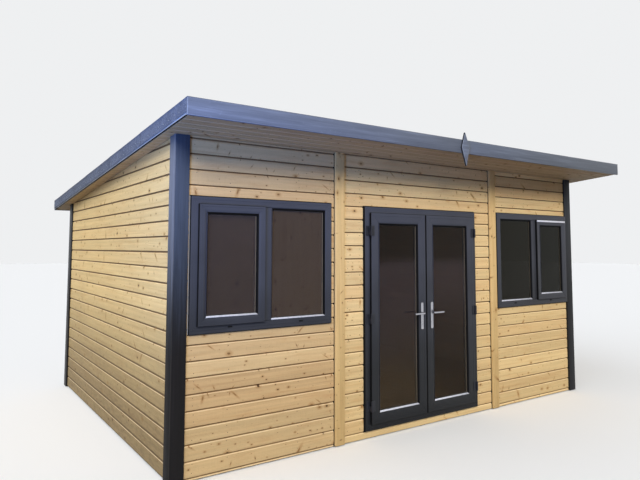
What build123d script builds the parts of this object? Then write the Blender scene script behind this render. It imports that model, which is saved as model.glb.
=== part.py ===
from build123d import *
import os
from math import cos, radians, tan

# Timber summerhouse with a pent roof, French doors and two casement windows.
# Millimetres. X runs right along the front, Y runs to the back, Z is up.
# The origin is on the ground at the centre of the cladding's footprint.

os.makedirs("parts", exist_ok=True)

# Building
WIDTH = 5004
DEPTH = 3640
CLADDING = 16
FRAMING = 74
CLADDING_START = 10
EAVES_HEIGHT = 2535
ROOF_PITCH = 4.8

# Floor
BEARER_HEIGHT = 50
BEARER_WIDTH = 70
BEARER_COUNT = 9
FLOOR_BOARD = 22
FLOOR_EDGE_GAP = 1

# Boards over the corners and over the joints of the front panels
TRIM_FRONT_FACE = 97
TRIM_SIDE_FACE = 95
TRIM_THICKNESS = 18
TRIM_START = 6
STRIP_WIDTH = 100
STRIP_THICKNESS = 20
BOARD_ARRIS = 3

# Front panels: the side panels share what the centre panel leaves, and each window fills
# its own panel between two margins
CENTRE_PANEL_OFFSET = 22.5
DOOR_LEFT_MARGIN = 275
DOOR_RIGHT_MARGIN = 294
LEFT_WINDOW_OUTER_MARGIN = 112
LEFT_WINDOW_INNER_MARGIN = 93
RIGHT_WINDOW_INNER_MARGIN = 60
RIGHT_WINDOW_OUTER_MARGIN = 100

# Windows: the head is measured from the floor, and the mullion stands a little right of the middle
WINDOW_HEIGHT = 1030
WINDOW_HEAD_LEVEL = 2010
WINDOW_FRAME_WIDTH = 66
MULLION_WIDTH = 76
MULLION_TENON = 1
MULLION_SHIFT = 10
SASH_WIDTH = 62
SASH_OVERLAP = 8
SASH_STOP = 15

# Window handles, on the inner face of each casement
GRIP_WIDTH = 16
GRIP_THICKNESS = 9
GRIP_LENGTH = 120
GRIP_STAND_OFF = 26
GRIP_BASE_WIDTH = 26
GRIP_BASE_HEIGHT = 66
GRIP_BASE_THICKNESS = 10
GRIP_NECK_RADIUS = 7
GRIP_DROP = 25

# Doors
DOORSET_WIDTH = 1490
DOORSET_HEIGHT = 2000
DOOR_FRAME_WIDTH = 62
DOOR_STOP = 15
DOOR_OVERLAP = 7
STILE_WIDTH = 96
LEAF_SETBACK = 13
LEAF_GAP = 5
MEETING_GAP = 7

# Plastic profiles
PROFILE_DEPTH = 70
FRAME_PROUD = 20
LEAF_PROUD = 45
PROFILE_CHAMFER = 6
BEAD_WIDTH = 15
BEAD_DEPTH = 18
BEAD_LIP = 4
GLASS_THICKNESS = 24
GLASS_EDGE_COVER = 12
GLASS_SET_IN = 22

# Hinges: the outer two are measured from the ends of the leaf, the third from its middle
BOTTOM_HINGE_RISE = 163
TOP_HINGE_DROP = 167
MIDDLE_HINGE_DROP = 14
HINGE_HEIGHT = 90
HINGE_RADIUS = 9
HINGE_PIN_RADIUS = 5
HINGE_PIN_CLEARANCE = 0.3
HINGE_AXIS_PROUD = 11
HINGE_AXIS_SIDE = 6
HINGE_PLATE = 4
HINGE_PLATE_WIDTH = 34
FRAME_PLATE_OFFSET = 2
LEAF_PLATE_OFFSET = 3
HINGE_SEAT = 0.5

# Door handles: the spindle's height is measured from the floor
HANDLE_LEVEL = 1003
HANDLE_FROM_MEETING = 62
PLATE_WIDTH = 32
PLATE_HEIGHT = 255
PLATE_THICKNESS = 9
PLATE_DROP = 28
PLATE_CORNER = 10.5
PLATE_CHAMFER = 2
BOSS_RADIUS = 9
BOSS_LENGTH = 14
BOSS_CLEARANCE = 0.3
LEVER_STAND_OFF = 42
LEVER_LENGTH = 122
LEVER_DEPTH = 17
LEVER_THICKNESS = 12
LEVER_CHAMFER = 3
LEVER_BEND = 16
LEVER_RETURN = 12
SPINDLE_SIDE = 8
SPINDLE_ENTRY = 2
SPINDLE_BORE_RADIUS = 8
CYLINDER_DROP = 92
CYLINDER_RADIUS = 8.5
CYLINDER_WEB = 10
CYLINDER_HEIGHT = 33
CYLINDER_PROUD = 3

# Roof
FRONT_OVERHANG = 500
BACK_OVERHANG = 500
LEFT_OVERHANG = 118
RIGHT_OVERHANG = 253
LINING = 12
RAFTER_WIDTH = 45
RAFTER_DEPTH = 89
RAFTER_COUNT = 10
ROOF_DECK = 15
FELT = 4
FELT_SIDE_DROP = 98
FELT_BACK_DROP = 60
FASCIA = 20
FASCIA_LIP = 6
RAKE_BOARD = 20
FINIAL_WIDTH = 104
FINIAL_THICKNESS = 20
FINIAL_TOP_RISE = 70
FINIAL_BELOW_FASCIA = 122
FINIAL_SHOULDER = 0.55
FINIAL_LEAN = 2.5
FINIAL_CHAMFER = 2

# Places worked out from the sizes above
WALL = CLADDING + FRAMING
LEFT = -WIDTH / 2
RIGHT = WIDTH / 2
FRONT = -DEPTH / 2
BACK = DEPTH / 2
FLOOR_TOP = BEARER_HEIGHT + FLOOR_BOARD
SLOPE = tan(radians(ROOF_PITCH))

CENTRE_PANEL = DOOR_LEFT_MARGIN + DOORSET_WIDTH + DOOR_RIGHT_MARGIN
LEFT_JOINT = CENTRE_PANEL_OFFSET - CENTRE_PANEL / 2
RIGHT_JOINT = CENTRE_PANEL_OFFSET + CENTRE_PANEL / 2
LEFT_WINDOW = (LEFT + LEFT_WINDOW_OUTER_MARGIN, LEFT_JOINT - LEFT_WINDOW_INNER_MARGIN)
RIGHT_WINDOW = (RIGHT_JOINT + RIGHT_WINDOW_INNER_MARGIN, RIGHT - RIGHT_WINDOW_OUTER_MARGIN)
WINDOW_HEAD = FLOOR_TOP + WINDOW_HEAD_LEVEL
WINDOW_SILL = WINDOW_HEAD - WINDOW_HEIGHT
DOOR_LEFT = LEFT_JOINT + DOOR_LEFT_MARGIN
DOOR_RIGHT = DOOR_LEFT + DOORSET_WIDTH
DOOR_CENTRE = DOOR_LEFT + DOORSET_WIDTH / 2
DOOR_HEAD = FLOOR_TOP + DOORSET_HEIGHT
HANDLE_HEIGHT = FLOOR_TOP + HANDLE_LEVEL

FRAME_FACE_Y = FRONT - FRAME_PROUD
LEAF_FACE_Y = FRONT - LEAF_PROUD
ROOF_LEFT = LEFT - LEFT_OVERHANG
ROOF_RIGHT = RIGHT + RIGHT_OVERHANG
ROOF_FRONT = FRONT - FRONT_OVERHANG
ROOF_BACK = BACK + BACK_OVERHANG


def soffit_z(y):
    """Height of the soffit's underside at a depth y."""
    return EAVES_HEIGHT - (y - FRONT) * SLOPE


def block(x0, x1, y0, y1, z0, z1):
    """A box given by its low and high corner on each axis."""
    centre = ((x0 + x1) / 2, (y0 + y1) / 2, (z0 + z1) / 2)
    return Pos(*centre) * Box(x1 - x0, y1 - y0, z1 - z0)


def side_profile(points, x0, x1):
    """A closed outline in the YZ plane, drawn out from x0 to x1."""
    face = Plane.YZ.offset(x0) * Polygon(*points, align=None)
    return extrude(face, x1 - x0, dir=(1, 0, 0))


def roof_layer(x0, x1, y0, y1, bottom, top):
    """A layer of the sloping roof, its bottom and top given above the soffit's underside."""
    outline = [(y0, soffit_z(y0) + bottom), (y1, soffit_z(y1) + bottom)]
    outline += [(y1, soffit_z(y1) + top), (y0, soffit_z(y0) + top)]
    return side_profile(outline, x0, x1)


def front_panel(x0, x1):
    """A front wall panel: its cladding laps down over the floor's edge."""
    back = FRONT + WALL
    clad = FRONT + CLADDING
    outline = [(FRONT, CLADDING_START), (clad, CLADDING_START), (clad, FLOOR_TOP), (back, FLOOR_TOP)]
    outline += [(back, soffit_z(back) + LINING), (FRONT, soffit_z(FRONT) + LINING)]
    return side_profile(outline, x0, x1)


def opening(x0, x1, z0, z1):
    """A cutter for an opening through the front wall."""
    return block(x0, x1, FRONT - WALL, FRONT + 2 * WALL, z0, z1)


def back_wall():
    inner = BACK - WALL
    clad = BACK - CLADDING
    outline = [(BACK, CLADDING_START), (clad, CLADDING_START), (clad, FLOOR_TOP), (inner, FLOOR_TOP)]
    outline += [(inner, soffit_z(inner) + LINING), (BACK, soffit_z(BACK) + LINING)]
    return side_profile(outline, LEFT, RIGHT)


def side_wall(outer, inner):
    """A side wall between the front and back walls, from its cladding face to its lining face."""
    clad = outer + CLADDING * (1 if inner > outer else -1)
    y0, y1 = FRONT + WALL, BACK - WALL

    def sheet(x0, x1, z0):
        outline = [(y0, z0), (y1, z0), (y1, soffit_z(y1) + LINING), (y0, soffit_z(y0) + LINING)]
        return side_profile(outline, min(x0, x1), max(x0, x1))

    return sheet(outer, clad, CLADDING_START) + sheet(clad, inner, FLOOR_TOP)


def corner_trim(side, end):
    """An L-shaped corner board: side is -1 left or 1 right, end is -1 front or 1 back."""
    corner_x = LEFT if side < 0 else RIGHT
    corner_y = FRONT if end < 0 else BACK
    out_x = corner_x + side * TRIM_THICKNESS
    out_y = corner_y + end * TRIM_THICKNESS
    in_x = corner_x - side * TRIM_FRONT_FACE
    in_y = corner_y - end * TRIM_SIDE_FACE
    top = EAVES_HEIGHT + FRONT_OVERHANG
    face = block(min(out_x, in_x), max(out_x, in_x), min(out_y, corner_y), max(out_y, corner_y), 0, top)
    side_leg = block(min(out_x, corner_x), max(out_x, corner_x), min(out_y, in_y), max(out_y, in_y), 0, top)
    trim = face + side_leg
    trim = chamfer(trim.edges().filter_by(Axis.Z).sort_by_distance((out_x, out_y, 0))[0], BOARD_ARRIS)
    y0, y1 = ROOF_FRONT, ROOF_BACK
    keep = [(y0, TRIM_START), (y1, TRIM_START), (y1, soffit_z(y1)), (y0, soffit_z(y0))]
    return trim & side_profile(keep, ROOF_LEFT, ROOF_RIGHT)


def cover_strip(centre):
    """A board over the joint between two front panels."""
    y0, y1 = FRONT - STRIP_THICKNESS, FRONT
    outline = [(y0, CLADDING_START), (y1, CLADDING_START), (y1, soffit_z(y1)), (y0, soffit_z(y0))]
    strip = side_profile(outline, centre - STRIP_WIDTH / 2, centre + STRIP_WIDTH / 2)
    return chamfer(strip.faces().sort_by(Axis.Y)[0].edges().filter_by(Axis.Z), BOARD_ARRIS)


def mitred_frame(section, x0, x1, z0, z1):
    """A section of (inset, y) points swept round a rectangle, with mitred corners."""
    middle = (x0 + x1) / 2
    path = Polyline((middle, 0, z0), (x1, 0, z0), (x1, 0, z1), (x0, 0, z1), (x0, 0, z0), (middle, 0, z0))
    plane = Plane(origin=(middle, 0, 0), x_dir=(0, 0, 1), z_dir=(1, 0, 0))
    outline = [(z0 + inset, -y) for inset, y in section]
    face = plane * Polygon(*outline, align=None)
    return sweep(face, path=path, transition=Transition.RIGHT)


def bead_section(start, glass_face):
    """A sloped glazing bead that holds the glass from outside."""
    end = start + BEAD_WIDTH
    return [(start, glass_face), (end, glass_face), (end, glass_face - BEAD_LIP), (start, glass_face - BEAD_DEPTH)]


def frame_face(width):
    """The outer face of a fixed frame, with a small chamfer outside and a full one inside."""
    cut = PROFILE_CHAMFER
    front = FRAME_FACE_Y
    return [(0, front + cut / 2), (cut / 2, front), (width - cut, front), (width, front + cut)]


def sash_section(width, flange_to, body_to, setback):
    """A sash: its flange laps the frame and its body stands back from the flange's edge."""
    cut = PROFILE_CHAMFER
    front = LEAF_FACE_Y
    points = [(0, front + cut), (cut, front), (width - cut, front), (width, front + cut)]
    return points + [(width, body_to), (setback, body_to), (setback, flange_to), (0, flange_to)]


def glass_pane(x0, x1, z0, z1, face_y):
    """A sealed unit whose edges are held behind the frame and its bead."""
    return block(x0, x1, face_y, face_y + GLASS_THICKNESS, z0, z1)


def save(name, shape):
    export_step(shape, f"parts/{name}.step")


# Floor
bearer_pitch = (WIDTH - 2 * (CLADDING + FLOOR_EDGE_GAP) - BEARER_WIDTH) / (BEARER_COUNT - 1)
floor_front = FRONT + CLADDING + FLOOR_EDGE_GAP
bearer = block(-BEARER_WIDTH / 2, BEARER_WIDTH / 2, floor_front, -floor_front, 0, BEARER_HEIGHT)
bearers = [Pos((i - (BEARER_COUNT - 1) / 2) * bearer_pitch, 0, 0) * bearer for i in range(BEARER_COUNT)]
save("floor_bearers", Compound(bearers))

floor_left = LEFT + CLADDING + FLOOR_EDGE_GAP
floor = block(floor_left, -floor_left, floor_front, -floor_front, BEARER_HEIGHT, FLOOR_TOP)
save("floor_deck", floor)

# Walls
left_hole = opening(*LEFT_WINDOW, WINDOW_SILL, WINDOW_HEAD)
right_hole = opening(*RIGHT_WINDOW, WINDOW_SILL, WINDOW_HEAD)
save("front_wall_left_panel", front_panel(LEFT, LEFT_JOINT) - left_hole)
save("front_wall_beside_door_left", front_panel(LEFT_JOINT, DOOR_LEFT))
save("front_wall_beside_door_right", front_panel(DOOR_RIGHT, RIGHT_JOINT))
save("front_wall_right_panel", front_panel(RIGHT_JOINT, RIGHT) - right_hole)
over_door = front_panel(DOOR_LEFT, DOOR_RIGHT)
over_door -= opening(DOOR_LEFT, DOOR_RIGHT, 0, DOOR_HEAD)
save("front_wall_over_door", over_door)
save("board_under_door", block(DOOR_LEFT, DOOR_RIGHT, FRONT, FRONT + CLADDING, CLADDING_START, FLOOR_TOP))
save("back_wall", back_wall())
save("left_wall", side_wall(LEFT, LEFT + WALL))
save("right_wall", side_wall(RIGHT, RIGHT - WALL))

# Trims
for side, side_name in ((-1, "left"), (1, "right")):
    for end, end_name in ((-1, "front"), (1, "back")):
        save(f"corner_trim_{end_name}_{side_name}", corner_trim(side, end))
save("cover_strip_left", cover_strip(LEFT_JOINT))
save("cover_strip_right", cover_strip(RIGHT_JOINT))


def window_handle(x, face_y, z):
    """A turning handle in its closed place: a rounded base, a short neck and a hanging grip."""
    base = Pos(x, face_y + GRIP_BASE_THICKNESS / 2, z) * Box(GRIP_BASE_WIDTH, GRIP_BASE_THICKNESS, GRIP_BASE_HEIGHT)
    base = chamfer(base.edges().filter_by(Axis.Y), GRIP_BASE_WIDTH / 4)
    out = GRIP_STAND_OFF + GRIP_THICKNESS
    neck = Pos(x, face_y + out / 2, z) * Rot(90, 0, 0) * Cylinder(GRIP_NECK_RADIUS, out)
    top, low = z + GRIP_WIDTH / 2, z - GRIP_LENGTH
    outline = [(x - GRIP_WIDTH / 2, top), (x + GRIP_WIDTH / 2, top), (x + GRIP_NECK_RADIUS, low),
               (x - GRIP_NECK_RADIUS, low)]
    face = Plane.XZ.offset(-(face_y + GRIP_STAND_OFF)) * Polygon(*outline, align=None)
    grip = extrude(face, GRIP_THICKNESS, dir=(0, 1, 0))
    grip = chamfer(grip.faces().sort_by(Axis.Y)[-1].edges(), PLATE_CHAMFER)
    return base + neck + grip


def window(name, span, casement_side):
    """A two-light window: an opening casement beside a fixed light."""
    start, end = span
    back = FRAME_FACE_Y + PROFILE_DEPTH
    sash_back = back - SASH_STOP
    glass_y = FRAME_FACE_Y + GLASS_SET_IN
    middle = (start + end) / 2 + MULLION_SHIFT
    width = WINDOW_FRAME_WIDTH
    z0, z1 = WINDOW_SILL + width, WINDOW_HEAD - width
    frame = mitred_frame(frame_face(width) + [(width, back), (0, back)], start, end, WINDOW_SILL, WINDOW_HEAD)
    frame += block(middle - MULLION_WIDTH / 2, middle + MULLION_WIDTH / 2, FRAME_FACE_Y, back,
                   z0 - MULLION_TENON, z1 + MULLION_TENON)
    lights = {"left": (start + width, middle - MULLION_WIDTH / 2),
              "right": (middle + MULLION_WIDTH / 2, end - width)}
    fixed_side = "right" if casement_side == "left" else "left"

    # Fixed light: the glass sits in a groove of the frame, behind its bead
    x0, x1 = lights[fixed_side]
    fixed_glass = glass_pane(x0 - GLASS_EDGE_COVER, x1 + GLASS_EDGE_COVER, z0 - GLASS_EDGE_COVER,
                             z1 + GLASS_EDGE_COVER, glass_y)
    frame -= fixed_glass
    fixed_bead = mitred_frame(bead_section(0, glass_y), x0, x1, z0, z1)

    # Casement: its flange laps the frame and the mullion
    light_x0, light_x1 = lights[casement_side]
    sash_x0, sash_x1 = light_x0 - SASH_OVERLAP, light_x1 + SASH_OVERLAP
    sash_z0, sash_z1 = z0 - SASH_OVERLAP, z1 + SASH_OVERLAP
    section = sash_section(SASH_WIDTH, FRAME_FACE_Y, sash_back, SASH_OVERLAP)
    sash = mitred_frame(section, sash_x0, sash_x1, sash_z0, sash_z1)
    sash_glass_y = LEAF_FACE_Y + GLASS_SET_IN
    inner = SASH_WIDTH - GLASS_EDGE_COVER
    sash_glass = glass_pane(sash_x0 + inner, sash_x1 - inner, sash_z0 + inner, sash_z1 - inner, sash_glass_y)
    sash -= sash_glass
    sash_bead = mitred_frame(bead_section(SASH_WIDTH, sash_glass_y), sash_x0, sash_x1, sash_z0, sash_z1)
    mullion_side = sash_x1 - SASH_WIDTH / 2 if casement_side == "left" else sash_x0 + SASH_WIDTH / 2
    save(f"{name}_frame", frame)
    save(f"{name}_casement", sash)
    save(f"{name}_glass", Compound([fixed_glass, sash_glass]))
    save(f"{name}_beads", Compound([fixed_bead, sash_bead]))
    save(f"{name}_handle", window_handle(mullion_side, sash_back, (sash_z0 + sash_z1) / 2 + GRIP_DROP))


window("left_window", LEFT_WINDOW, "left")
window("right_window", RIGHT_WINDOW, "right")


def door_frame_bars():
    """The frame round the doors, mitred and cut at its corners into four bars."""
    width, back = DOOR_FRAME_WIDTH, FRAME_FACE_Y + PROFILE_DEPTH
    stop = back - DOOR_STOP - LEAF_GAP
    section = frame_face(width) + [(width, stop), (width + DOOR_STOP, stop), (width + DOOR_STOP, back), (0, back)]
    ring = mitred_frame(section, DOOR_LEFT, DOOR_RIGHT, FLOOR_TOP, DOOR_HEAD)
    reach = width + 2 * DOOR_STOP

    def wedge(points):
        face = Plane.XZ.offset(-back - DOOR_STOP) * Polygon(*points, align=None)
        return extrude(face, PROFILE_DEPTH + 2 * DOOR_STOP, dir=(0, -1, 0))

    inner_left, inner_right = DOOR_LEFT + reach, DOOR_RIGHT - reach
    inner_low, inner_high = FLOOR_TOP + reach, DOOR_HEAD - reach
    low_left, low_right = (DOOR_LEFT, FLOOR_TOP), (DOOR_RIGHT, FLOOR_TOP)
    high_left, high_right = (DOOR_LEFT, DOOR_HEAD), (DOOR_RIGHT, DOOR_HEAD)
    in_low_left, in_low_right = (inner_left, inner_low), (inner_right, inner_low)
    in_high_left, in_high_right = (inner_left, inner_high), (inner_right, inner_high)
    sides = {"door_jamb_left": [low_left, in_low_left, in_high_left, high_left],
             "door_jamb_right": [low_right, high_right, in_high_right, in_low_right],
             "door_head": [high_left, in_high_left, in_high_right, high_right],
             "door_threshold": [low_left, low_right, in_low_right, in_low_left]}
    for name, outline in sides.items():
        save(name, ring & wedge(outline))


door_frame_bars()

# Doors: side is -1 for the left leaf and 1 for the right leaf
leaf_bottom = FLOOR_TOP + DOOR_FRAME_WIDTH - DOOR_OVERLAP
leaf_top = DOOR_HEAD - DOOR_FRAME_WIDTH + DOOR_OVERLAP
leaf_body_y = LEAF_FACE_Y + PROFILE_DEPTH
hinge_y = LEAF_FACE_Y - HINGE_AXIS_PROUD
hinge_levels = (leaf_bottom + BOTTOM_HINGE_RISE, (leaf_bottom + leaf_top) / 2 - MIDDLE_HINGE_DROP,
                leaf_top - TOP_HINGE_DROP)


def leaf_edges(side):
    """The hinge edge and the meeting edge of a leaf."""
    jamb = DOOR_LEFT if side < 0 else DOOR_RIGHT
    hinge_edge = jamb - side * (DOOR_FRAME_WIDTH - DOOR_OVERLAP)
    return hinge_edge, DOOR_CENTRE + side * MEETING_GAP / 2


def door_leaf(side, name):
    """A leaf with its glass, its bead and the bore that the handle's spindle turns in."""
    hinge_edge, meeting_edge = leaf_edges(side)
    x0, x1 = min(hinge_edge, meeting_edge), max(hinge_edge, meeting_edge)
    glass_y = LEAF_FACE_Y + GLASS_SET_IN
    section = sash_section(STILE_WIDTH, FRAME_FACE_Y - LEAF_GAP, leaf_body_y, LEAF_SETBACK)
    leaf = mitred_frame(section, x0, x1, leaf_bottom, leaf_top)
    inner = STILE_WIDTH - GLASS_EDGE_COVER
    glass = glass_pane(x0 + inner, x1 - inner, leaf_bottom + inner, leaf_top - inner, glass_y)
    bore_x = meeting_edge + side * HANDLE_FROM_MEETING
    bore = Pos(bore_x, (LEAF_FACE_Y + leaf_body_y) / 2, HANDLE_HEIGHT)
    bore *= Rot(90, 0, 0) * Cylinder(SPINDLE_BORE_RADIUS, 2 * PROFILE_DEPTH)
    save(f"{name}_leaf", leaf - glass - bore)
    save(f"{name}_glass", glass)
    save(f"{name}_bead", mitred_frame(bead_section(STILE_WIDTH, glass_y), x0, x1, leaf_bottom, leaf_top))


def hinges(side, name):
    """Three flag hinges: the frame's half carries the pin, the leaf's half turns on it."""
    hinge_edge, _ = leaf_edges(side)
    axis_x = hinge_edge + side * HINGE_AXIS_SIDE
    half = (HINGE_HEIGHT - HINGE_PIN_CLEARANCE) / 2
    frame_halves, leaf_halves = [], []
    for level in hinge_levels:
        z0, z1 = level - HINGE_HEIGHT / 2, level + HINGE_HEIGHT / 2
        knuckle = Cylinder(HINGE_RADIUS, half, align=(Align.CENTER, Align.CENTER, Align.MIN))
        pin = Cylinder(HINGE_PIN_RADIUS, HINGE_HEIGHT, align=(Align.CENTER, Align.CENTER, Align.MIN))
        bore = Cylinder(HINGE_PIN_RADIUS + HINGE_PIN_CLEARANCE, HINGE_HEIGHT)

        plate_near = axis_x + side * FRAME_PLATE_OFFSET
        plate_far = plate_near + side * HINGE_PLATE_WIDTH
        x_low, x_high = min(plate_near, plate_far), max(plate_near, plate_far)
        frame_plate = block(x_low, x_high, FRAME_FACE_Y - HINGE_PLATE, FRAME_FACE_Y, z0, z1)
        neck_far = axis_x + side * HINGE_RADIUS
        x_low, x_high = min(plate_near, neck_far), max(plate_near, neck_far)
        neck = block(x_low, x_high, hinge_y, FRAME_FACE_Y - HINGE_PLATE / 2, z0, z0 + half)
        frame_halves.append(frame_plate + neck + Pos(axis_x, hinge_y, z0) * (knuckle + pin))

        plate_near = hinge_edge - side * LEAF_PLATE_OFFSET
        plate_far = plate_near - side * HINGE_PLATE_WIDTH
        x_low, x_high = min(plate_near, plate_far), max(plate_near, plate_far)
        leaf_plate = block(x_low, x_high, LEAF_FACE_Y - HINGE_PLATE, LEAF_FACE_Y, z0, z1)
        x_low, x_high = min(plate_near, axis_x), max(plate_near, axis_x)
        bridge_y = hinge_y + HINGE_RADIUS - HINGE_PLATE
        bridge = block(x_low, x_high, bridge_y, LEAF_FACE_Y - HINGE_SEAT, z1 - half, z1)
        leaf_half = leaf_plate + bridge + Pos(axis_x, hinge_y, z1 - half) * knuckle
        leaf_halves.append(leaf_half - Pos(axis_x, hinge_y, level) * bore)
    save(f"{name}_frame_hinges", Compound(frame_halves))
    save(f"{name}_leaf_hinges", Compound(leaf_halves))


def handle_plate(x, face_y, outward):
    """A long back plate with a hole for the lever's boss and the lock's cylinder below it."""
    z = HANDLE_HEIGHT - PLATE_DROP
    plate = Pos(x, face_y + outward * PLATE_THICKNESS / 2, z) * Box(PLATE_WIDTH, PLATE_THICKNESS, PLATE_HEIGHT)
    plate = fillet(plate.edges().filter_by(Axis.Y), PLATE_CORNER)
    front = plate.faces().sort_by(Axis.Y)[0 if outward < 0 else -1]
    plate = chamfer(front.edges(), PLATE_CHAMFER)
    hole = Pos(x, face_y, HANDLE_HEIGHT) * Rot(90, 0, 0) * Cylinder(BOSS_RADIUS + BOSS_CLEARANCE, 4 * PLATE_THICKNESS)
    reach = PLATE_THICKNESS + CYLINDER_PROUD
    low = CYLINDER_HEIGHT - CYLINDER_RADIUS
    lock = Pos(x, face_y + outward * reach / 2, HANDLE_HEIGHT - CYLINDER_DROP)
    plug = lock * Rot(90, 0, 0) * Cylinder(CYLINDER_RADIUS, reach)
    web = lock * Pos(0, 0, -low / 2) * Box(CYLINDER_WEB, reach, low)
    return plate - hole + plug + web


def lever(x, face_y, outward, point):
    """A flat-sided lever: out of the plate on its boss, along the leaf, and back towards it at the tip."""
    out = face_y + outward * (PLATE_THICKNESS + LEVER_STAND_OFF)
    tip = x + point * LEVER_LENGTH
    back = out - outward * (LEVER_RETURN + LEVER_THICKNESS / 2)
    path = FilletPolyline((x, face_y, HANDLE_HEIGHT), (x, out, HANDLE_HEIGHT), (tip, out, HANDLE_HEIGHT),
                          (tip, back, HANDLE_HEIGHT), radius=(LEVER_BEND, LEVER_BEND / 2))
    section = Rectangle(LEVER_THICKNESS, LEVER_DEPTH)
    section = chamfer(section.vertices(), LEVER_CHAMFER)
    start = Plane(origin=path @ 0, x_dir=(1, 0, 0), z_dir=path % 0)
    bar = sweep(start * section, path=path)
    boss = Pos(x, face_y + outward * BOSS_LENGTH / 2, HANDLE_HEIGHT) * Rot(90, 0, 0)
    return bar + boss * Cylinder(BOSS_RADIUS, BOSS_LENGTH)


def handles(side, name):
    """A lever handle set: plates on both faces of the leaf, levers on one square spindle."""
    _, meeting_edge = leaf_edges(side)
    x = meeting_edge + side * HANDLE_FROM_MEETING
    plates = [handle_plate(x, LEAF_FACE_Y, -1), handle_plate(x, leaf_body_y, 1)]
    middle = (LEAF_FACE_Y + leaf_body_y) / 2
    spindle_length = PROFILE_DEPTH + 2 * SPINDLE_ENTRY
    spindle = Pos(x, middle, HANDLE_HEIGHT) * Box(SPINDLE_SIDE, spindle_length, SPINDLE_SIDE)
    levers = lever(x, LEAF_FACE_Y, -1, side) + spindle + lever(x, leaf_body_y, 1, side)
    save(f"{name}_handle_plates", Compound(plates))
    save(f"{name}_levers", levers)


for side, name in ((-1, "door_left"), (1, "door_right")):
    door_leaf(side, name)
    hinges(side, name)
    handles(side, name)

# Roof
inner_left, inner_right = ROOF_LEFT + RAKE_BOARD, ROOF_RIGHT - RAKE_BOARD
inner_front, inner_back = ROOF_FRONT + FASCIA, ROOF_BACK - FASCIA
deck_bottom = LINING + RAFTER_DEPTH
deck_top = deck_bottom + ROOF_DECK

rafter_pitch = (inner_right - inner_left - RAFTER_WIDTH) / (RAFTER_COUNT - 1)
rafter_starts = [inner_left + i * rafter_pitch for i in range(RAFTER_COUNT)]
rafters = [roof_layer(x, x + RAFTER_WIDTH, inner_front, inner_back, LINING, deck_bottom) for x in rafter_starts]
save("rafters", Compound(rafters))
save("roof_deck", roof_layer(inner_left, inner_right, inner_front, inner_back, deck_bottom, deck_top))
save("ceiling", roof_layer(LEFT + WALL, RIGHT - WALL, FRONT + WALL, BACK - WALL, 0, LINING))
save("soffit_front", roof_layer(inner_left, inner_right, inner_front, FRONT, 0, LINING))
save("soffit_back", roof_layer(inner_left, inner_right, BACK, inner_back, 0, LINING))
save("soffit_left", roof_layer(inner_left, LEFT, FRONT, BACK, 0, LINING))
save("soffit_right", roof_layer(RIGHT, inner_right, FRONT, BACK, 0, LINING))

roof_middle = (ROOF_LEFT + ROOF_RIGHT) / 2
save("fascia_left", roof_layer(ROOF_LEFT, roof_middle, ROOF_FRONT, inner_front, -FASCIA_LIP, deck_top))
save("fascia_right", roof_layer(roof_middle, ROOF_RIGHT, ROOF_FRONT, inner_front, -FASCIA_LIP, deck_top))
save("fascia_back", roof_layer(ROOF_LEFT, ROOF_RIGHT, inner_back, ROOF_BACK, -FASCIA_LIP, deck_top))
save("rake_board_left", roof_layer(ROOF_LEFT, inner_left, inner_front, inner_back, 0, deck_top))
save("rake_board_right", roof_layer(inner_right, ROOF_RIGHT, inner_front, inner_back, 0, deck_top))


def felt_covering():
    """Mineral felt over the deck, turned down over both sides and the back."""
    side_bottom = deck_top - FELT_SIDE_DROP
    felt = roof_layer(ROOF_LEFT - FELT, ROOF_RIGHT + FELT, ROOF_FRONT, ROOF_BACK + FELT, deck_top, deck_top + FELT)
    felt += roof_layer(ROOF_LEFT - FELT, ROOF_LEFT, ROOF_FRONT, ROOF_BACK + FELT, side_bottom, deck_top)
    felt += roof_layer(ROOF_RIGHT, ROOF_RIGHT + FELT, ROOF_FRONT, ROOF_BACK + FELT, side_bottom, deck_top)
    felt += roof_layer(ROOF_LEFT, ROOF_RIGHT, ROOF_BACK, ROOF_BACK + FELT, deck_top - FELT_BACK_DROP, deck_top)
    return felt


def finial():
    """A long diamond over the joint of the two fascia boards, its foot leaning a little to the right."""
    fascia_bottom = soffit_z(ROOF_FRONT) - FASCIA_LIP
    fascia_top = soffit_z(ROOF_FRONT) + deck_top
    low, high = fascia_bottom - FINIAL_BELOW_FASCIA, fascia_top + FINIAL_TOP_RISE
    shoulder = low + (high - low) * FINIAL_SHOULDER
    half = FINIAL_WIDTH / 2
    outline = [(roof_middle, low), (roof_middle + half, shoulder), (roof_middle, high), (roof_middle - half, shoulder)]
    face = Plane.XZ.offset(-ROOF_FRONT) * Polygon(*outline, align=None)
    shape = extrude(face, FINIAL_THICKNESS, dir=(0, -1, 0))
    shape = chamfer(shape.faces().sort_by(Axis.Y)[0].edges(), FINIAL_CHAMFER)
    centre = Pos(roof_middle, 0, (low + high) / 2)
    return centre * Rot(0, -FINIAL_LEAN, 0) * centre.inverse() * shape


save("roof_felt", felt_covering())
save("finial", finial())
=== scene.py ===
"""A timber summerhouse dressed around its solids: boards, glazing, ironmongery, felt and their finishes."""

import math
import random

import bmesh
import bpy
from mathutils import Matrix, Vector, noise


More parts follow.
